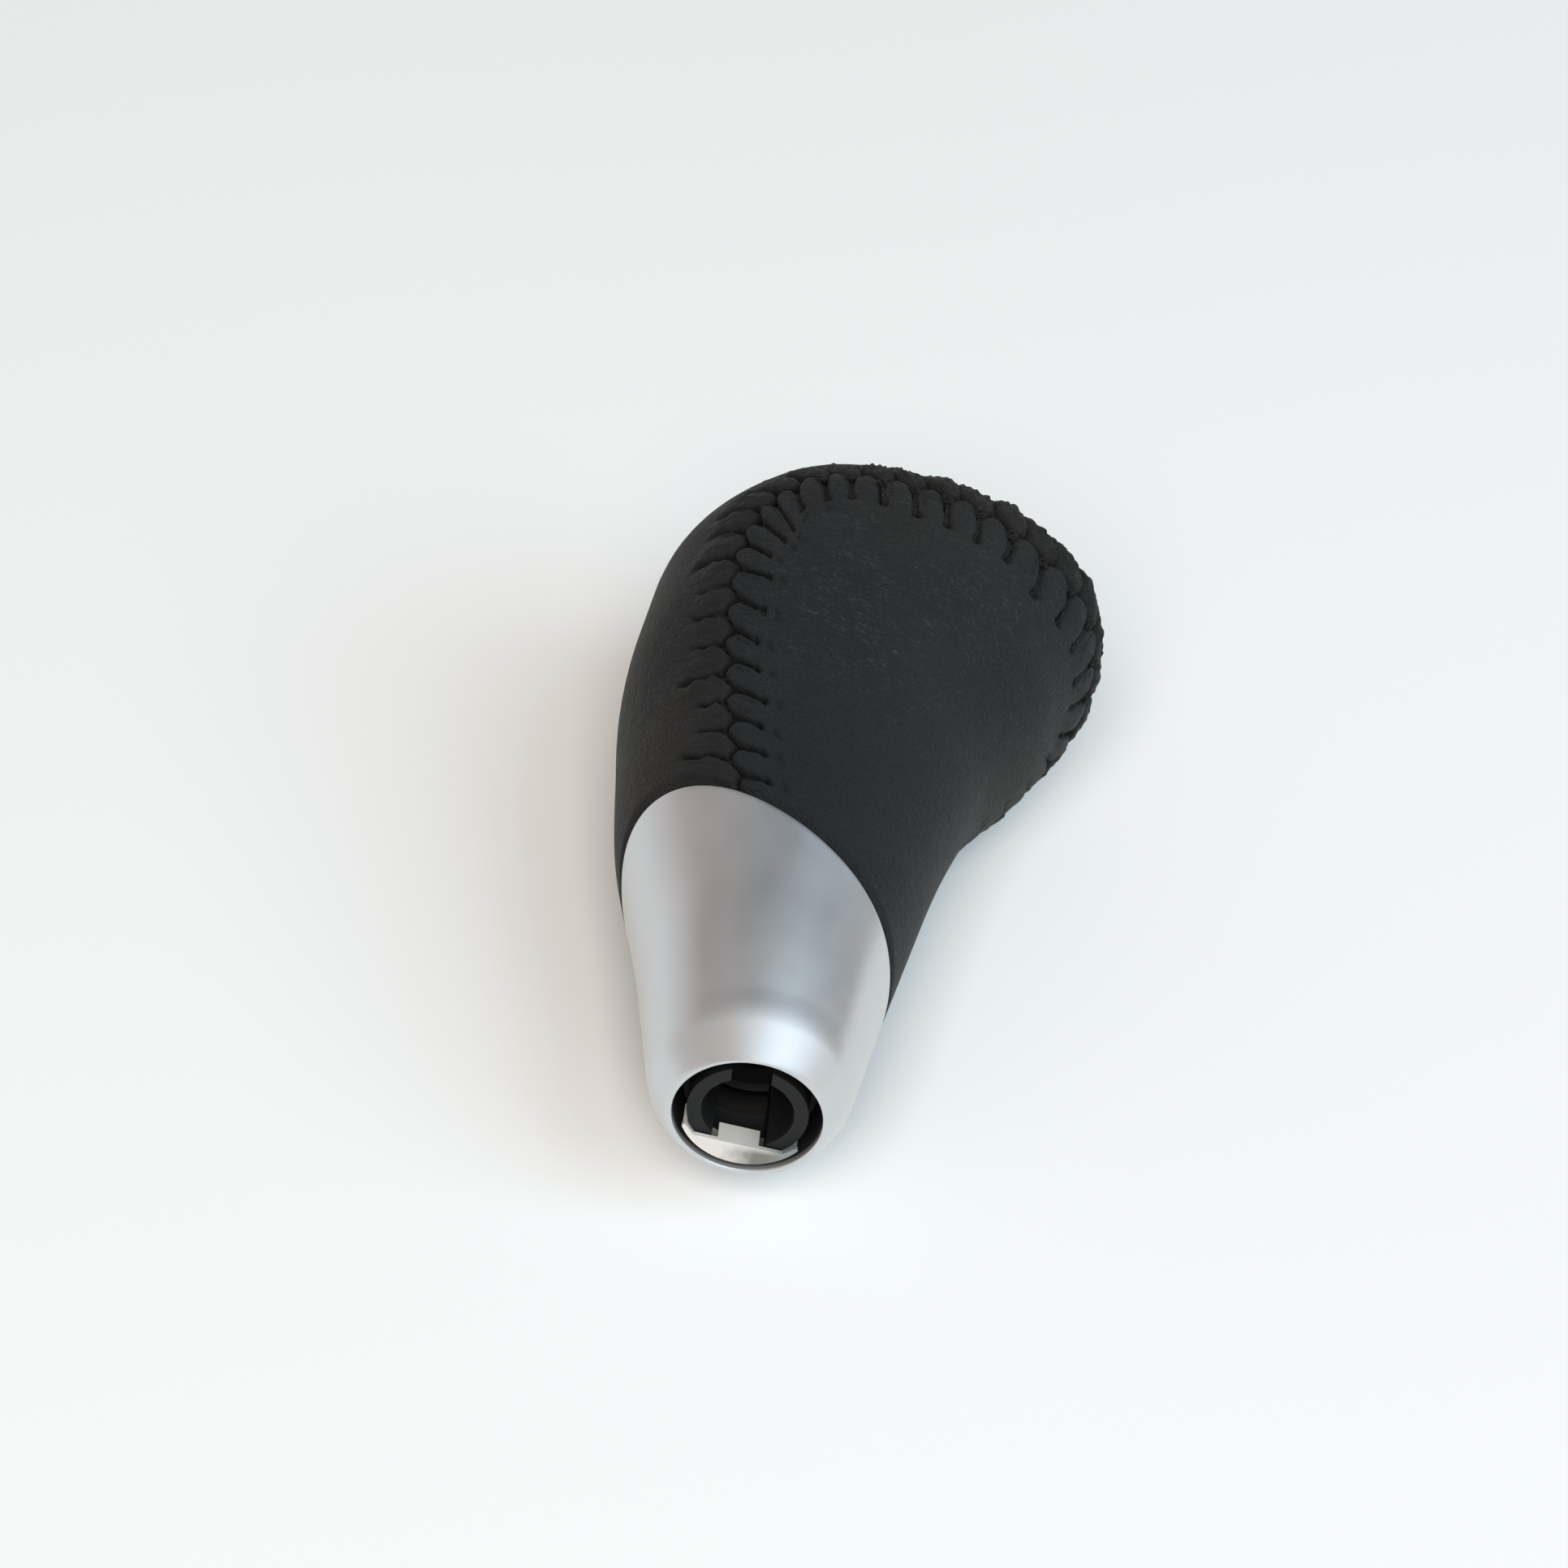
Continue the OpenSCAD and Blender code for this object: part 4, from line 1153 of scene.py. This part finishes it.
def table_material(base):
    """Pale table that only the camera and gloss see, from the front, and that fades out at its edges"""
    n = Finish("table top")
    n.tree.nodes.remove(n.shader)
    where = n.place()
    diffuse = n.out("ShaderNodeBsdfDiffuse", {"Color": n.toned(base, 0.985, n.noise(where, 0.004, 1))})
    path = n.add("ShaderNodeLightPath").outputs
    seen = n.math("MAXIMUM", path["Is Camera Ray"], path["Is Glossy Ray"])
    front = n.math("SUBTRACT", 1.0, n.out("ShaderNodeNewGeometry", output="Backfacing"))
    away = n.out("ShaderNodeVectorMath", {0: where}, "Value", operation="LENGTH")
    solid = n.math("MULTIPLY", n.math("MULTIPLY", seen, front), n.fit(away, 260, 420, 1, 0))
    blend = n.out("ShaderNodeMixShader", {0: solid, 1: n.out("ShaderNodeBsdfTransparent"), 2: diffuse})
    n.fill(n.output.inputs["Surface"], blend)
    return n.material


class KNOB_OT_stage(Operator):
    """Make the pale table that the knob lies on, the soft lamps, the background and the camera"""

    bl_idname = "gear_knob.stage"
    bl_label = "Stage"

    def execute(self, context):
        look = context.scene.gear_knob.stage
        sides = ((-1, -1), (1, -1), (1, 1), (-1, 1))
        corners = [(x * TABLE_SIZE, TABLE_BACK, z * TABLE_SIZE) for x, z in sides]
        table = mesh_object("table", corners, [[0, 1, 2, 3]], shade=False)
        table.data.materials.append(table_material(look.table_colour))
        world = context.scene.world or bpy.data.worlds.new("Studio")
        context.scene.world = world
        room_light(world, look)
        lamp("Window", (1.04, -1.12, -0.48), 1.2, look.window, (0.58, 0.83, 1.0))
        lamp("Room side", (-0.15, -2.1, -2.0), 1.7, look.front, (1.0, 0.93, 0.85))
        lamp("Behind", (-0.6, 1.5, 0.7), 1.2, look.behind, (1.0, 0.98, 0.96))
        camera = bpy.data.objects.new("Camera", bpy.data.cameras.new("Camera"))
        context.scene.collection.objects.link(camera)
        behind = CAMERA_BEHIND.normalized()
        right = (CAMERA_RIGHT - behind * CAMERA_RIGHT.dot(behind)).normalized()
        turn = Matrix((right, behind.cross(right), behind)).transposed().to_4x4()
        camera.matrix_world = Matrix.Translation(CAMERA_PLACE * MM) @ turn
        camera.data.lens = 85
        camera.data.sensor_width = 36
        camera.data.clip_start = 0.01
        camera.data.clip_end = 20
        context.scene.camera = camera
        context.scene.view_settings.view_transform = "Standard"
        return {"FINISHED"}


# Panel and registering


class KNOB_PT_panel(Panel):
    """Lists the steps and the settings of the gear knob"""

    bl_label = "Gear Knob"
    bl_idname = "KNOB_PT_panel"
    bl_space_type = "VIEW_3D"
    bl_region_type = "UI"
    bl_category = "Gear Knob"

    def draw(self, context):
        for step in STEPS:
            self.layout.operator(step.bl_idname)
        knob = context.scene.gear_knob
        for group in (knob.grip, knob.leather, knob.lacing, knob.metal, knob.stage):
            box = self.layout.box()
            for name in group.bl_rna.properties.keys():
                if name not in ("rna_type", "name"):
                    box.prop(group, name)


STEPS = (KNOB_OT_leather, KNOB_OT_lacing, KNOB_OT_collar, KNOB_OT_socket, KNOB_OT_clip, KNOB_OT_inside,
         KNOB_OT_stage)
CLASSES = (GripSizes, LeatherLook, LacingLook, MetalLook, StageLook, KnobSettings, *STEPS, KNOB_PT_panel)


def register():
    for one in CLASSES:
        bpy.utils.register_class(one)
    bpy.types.Scene.gear_knob = PointerProperty(type=KnobSettings)


def unregister():
    del bpy.types.Scene.gear_knob
    for one in reversed(CLASSES):
        bpy.utils.unregister_class(one)


def main():
    register()
    for step in STEPS:
        group, name = step.bl_idname.split(".")
        getattr(getattr(bpy.ops, group), name)()


if __name__ == "__main__":
    main()
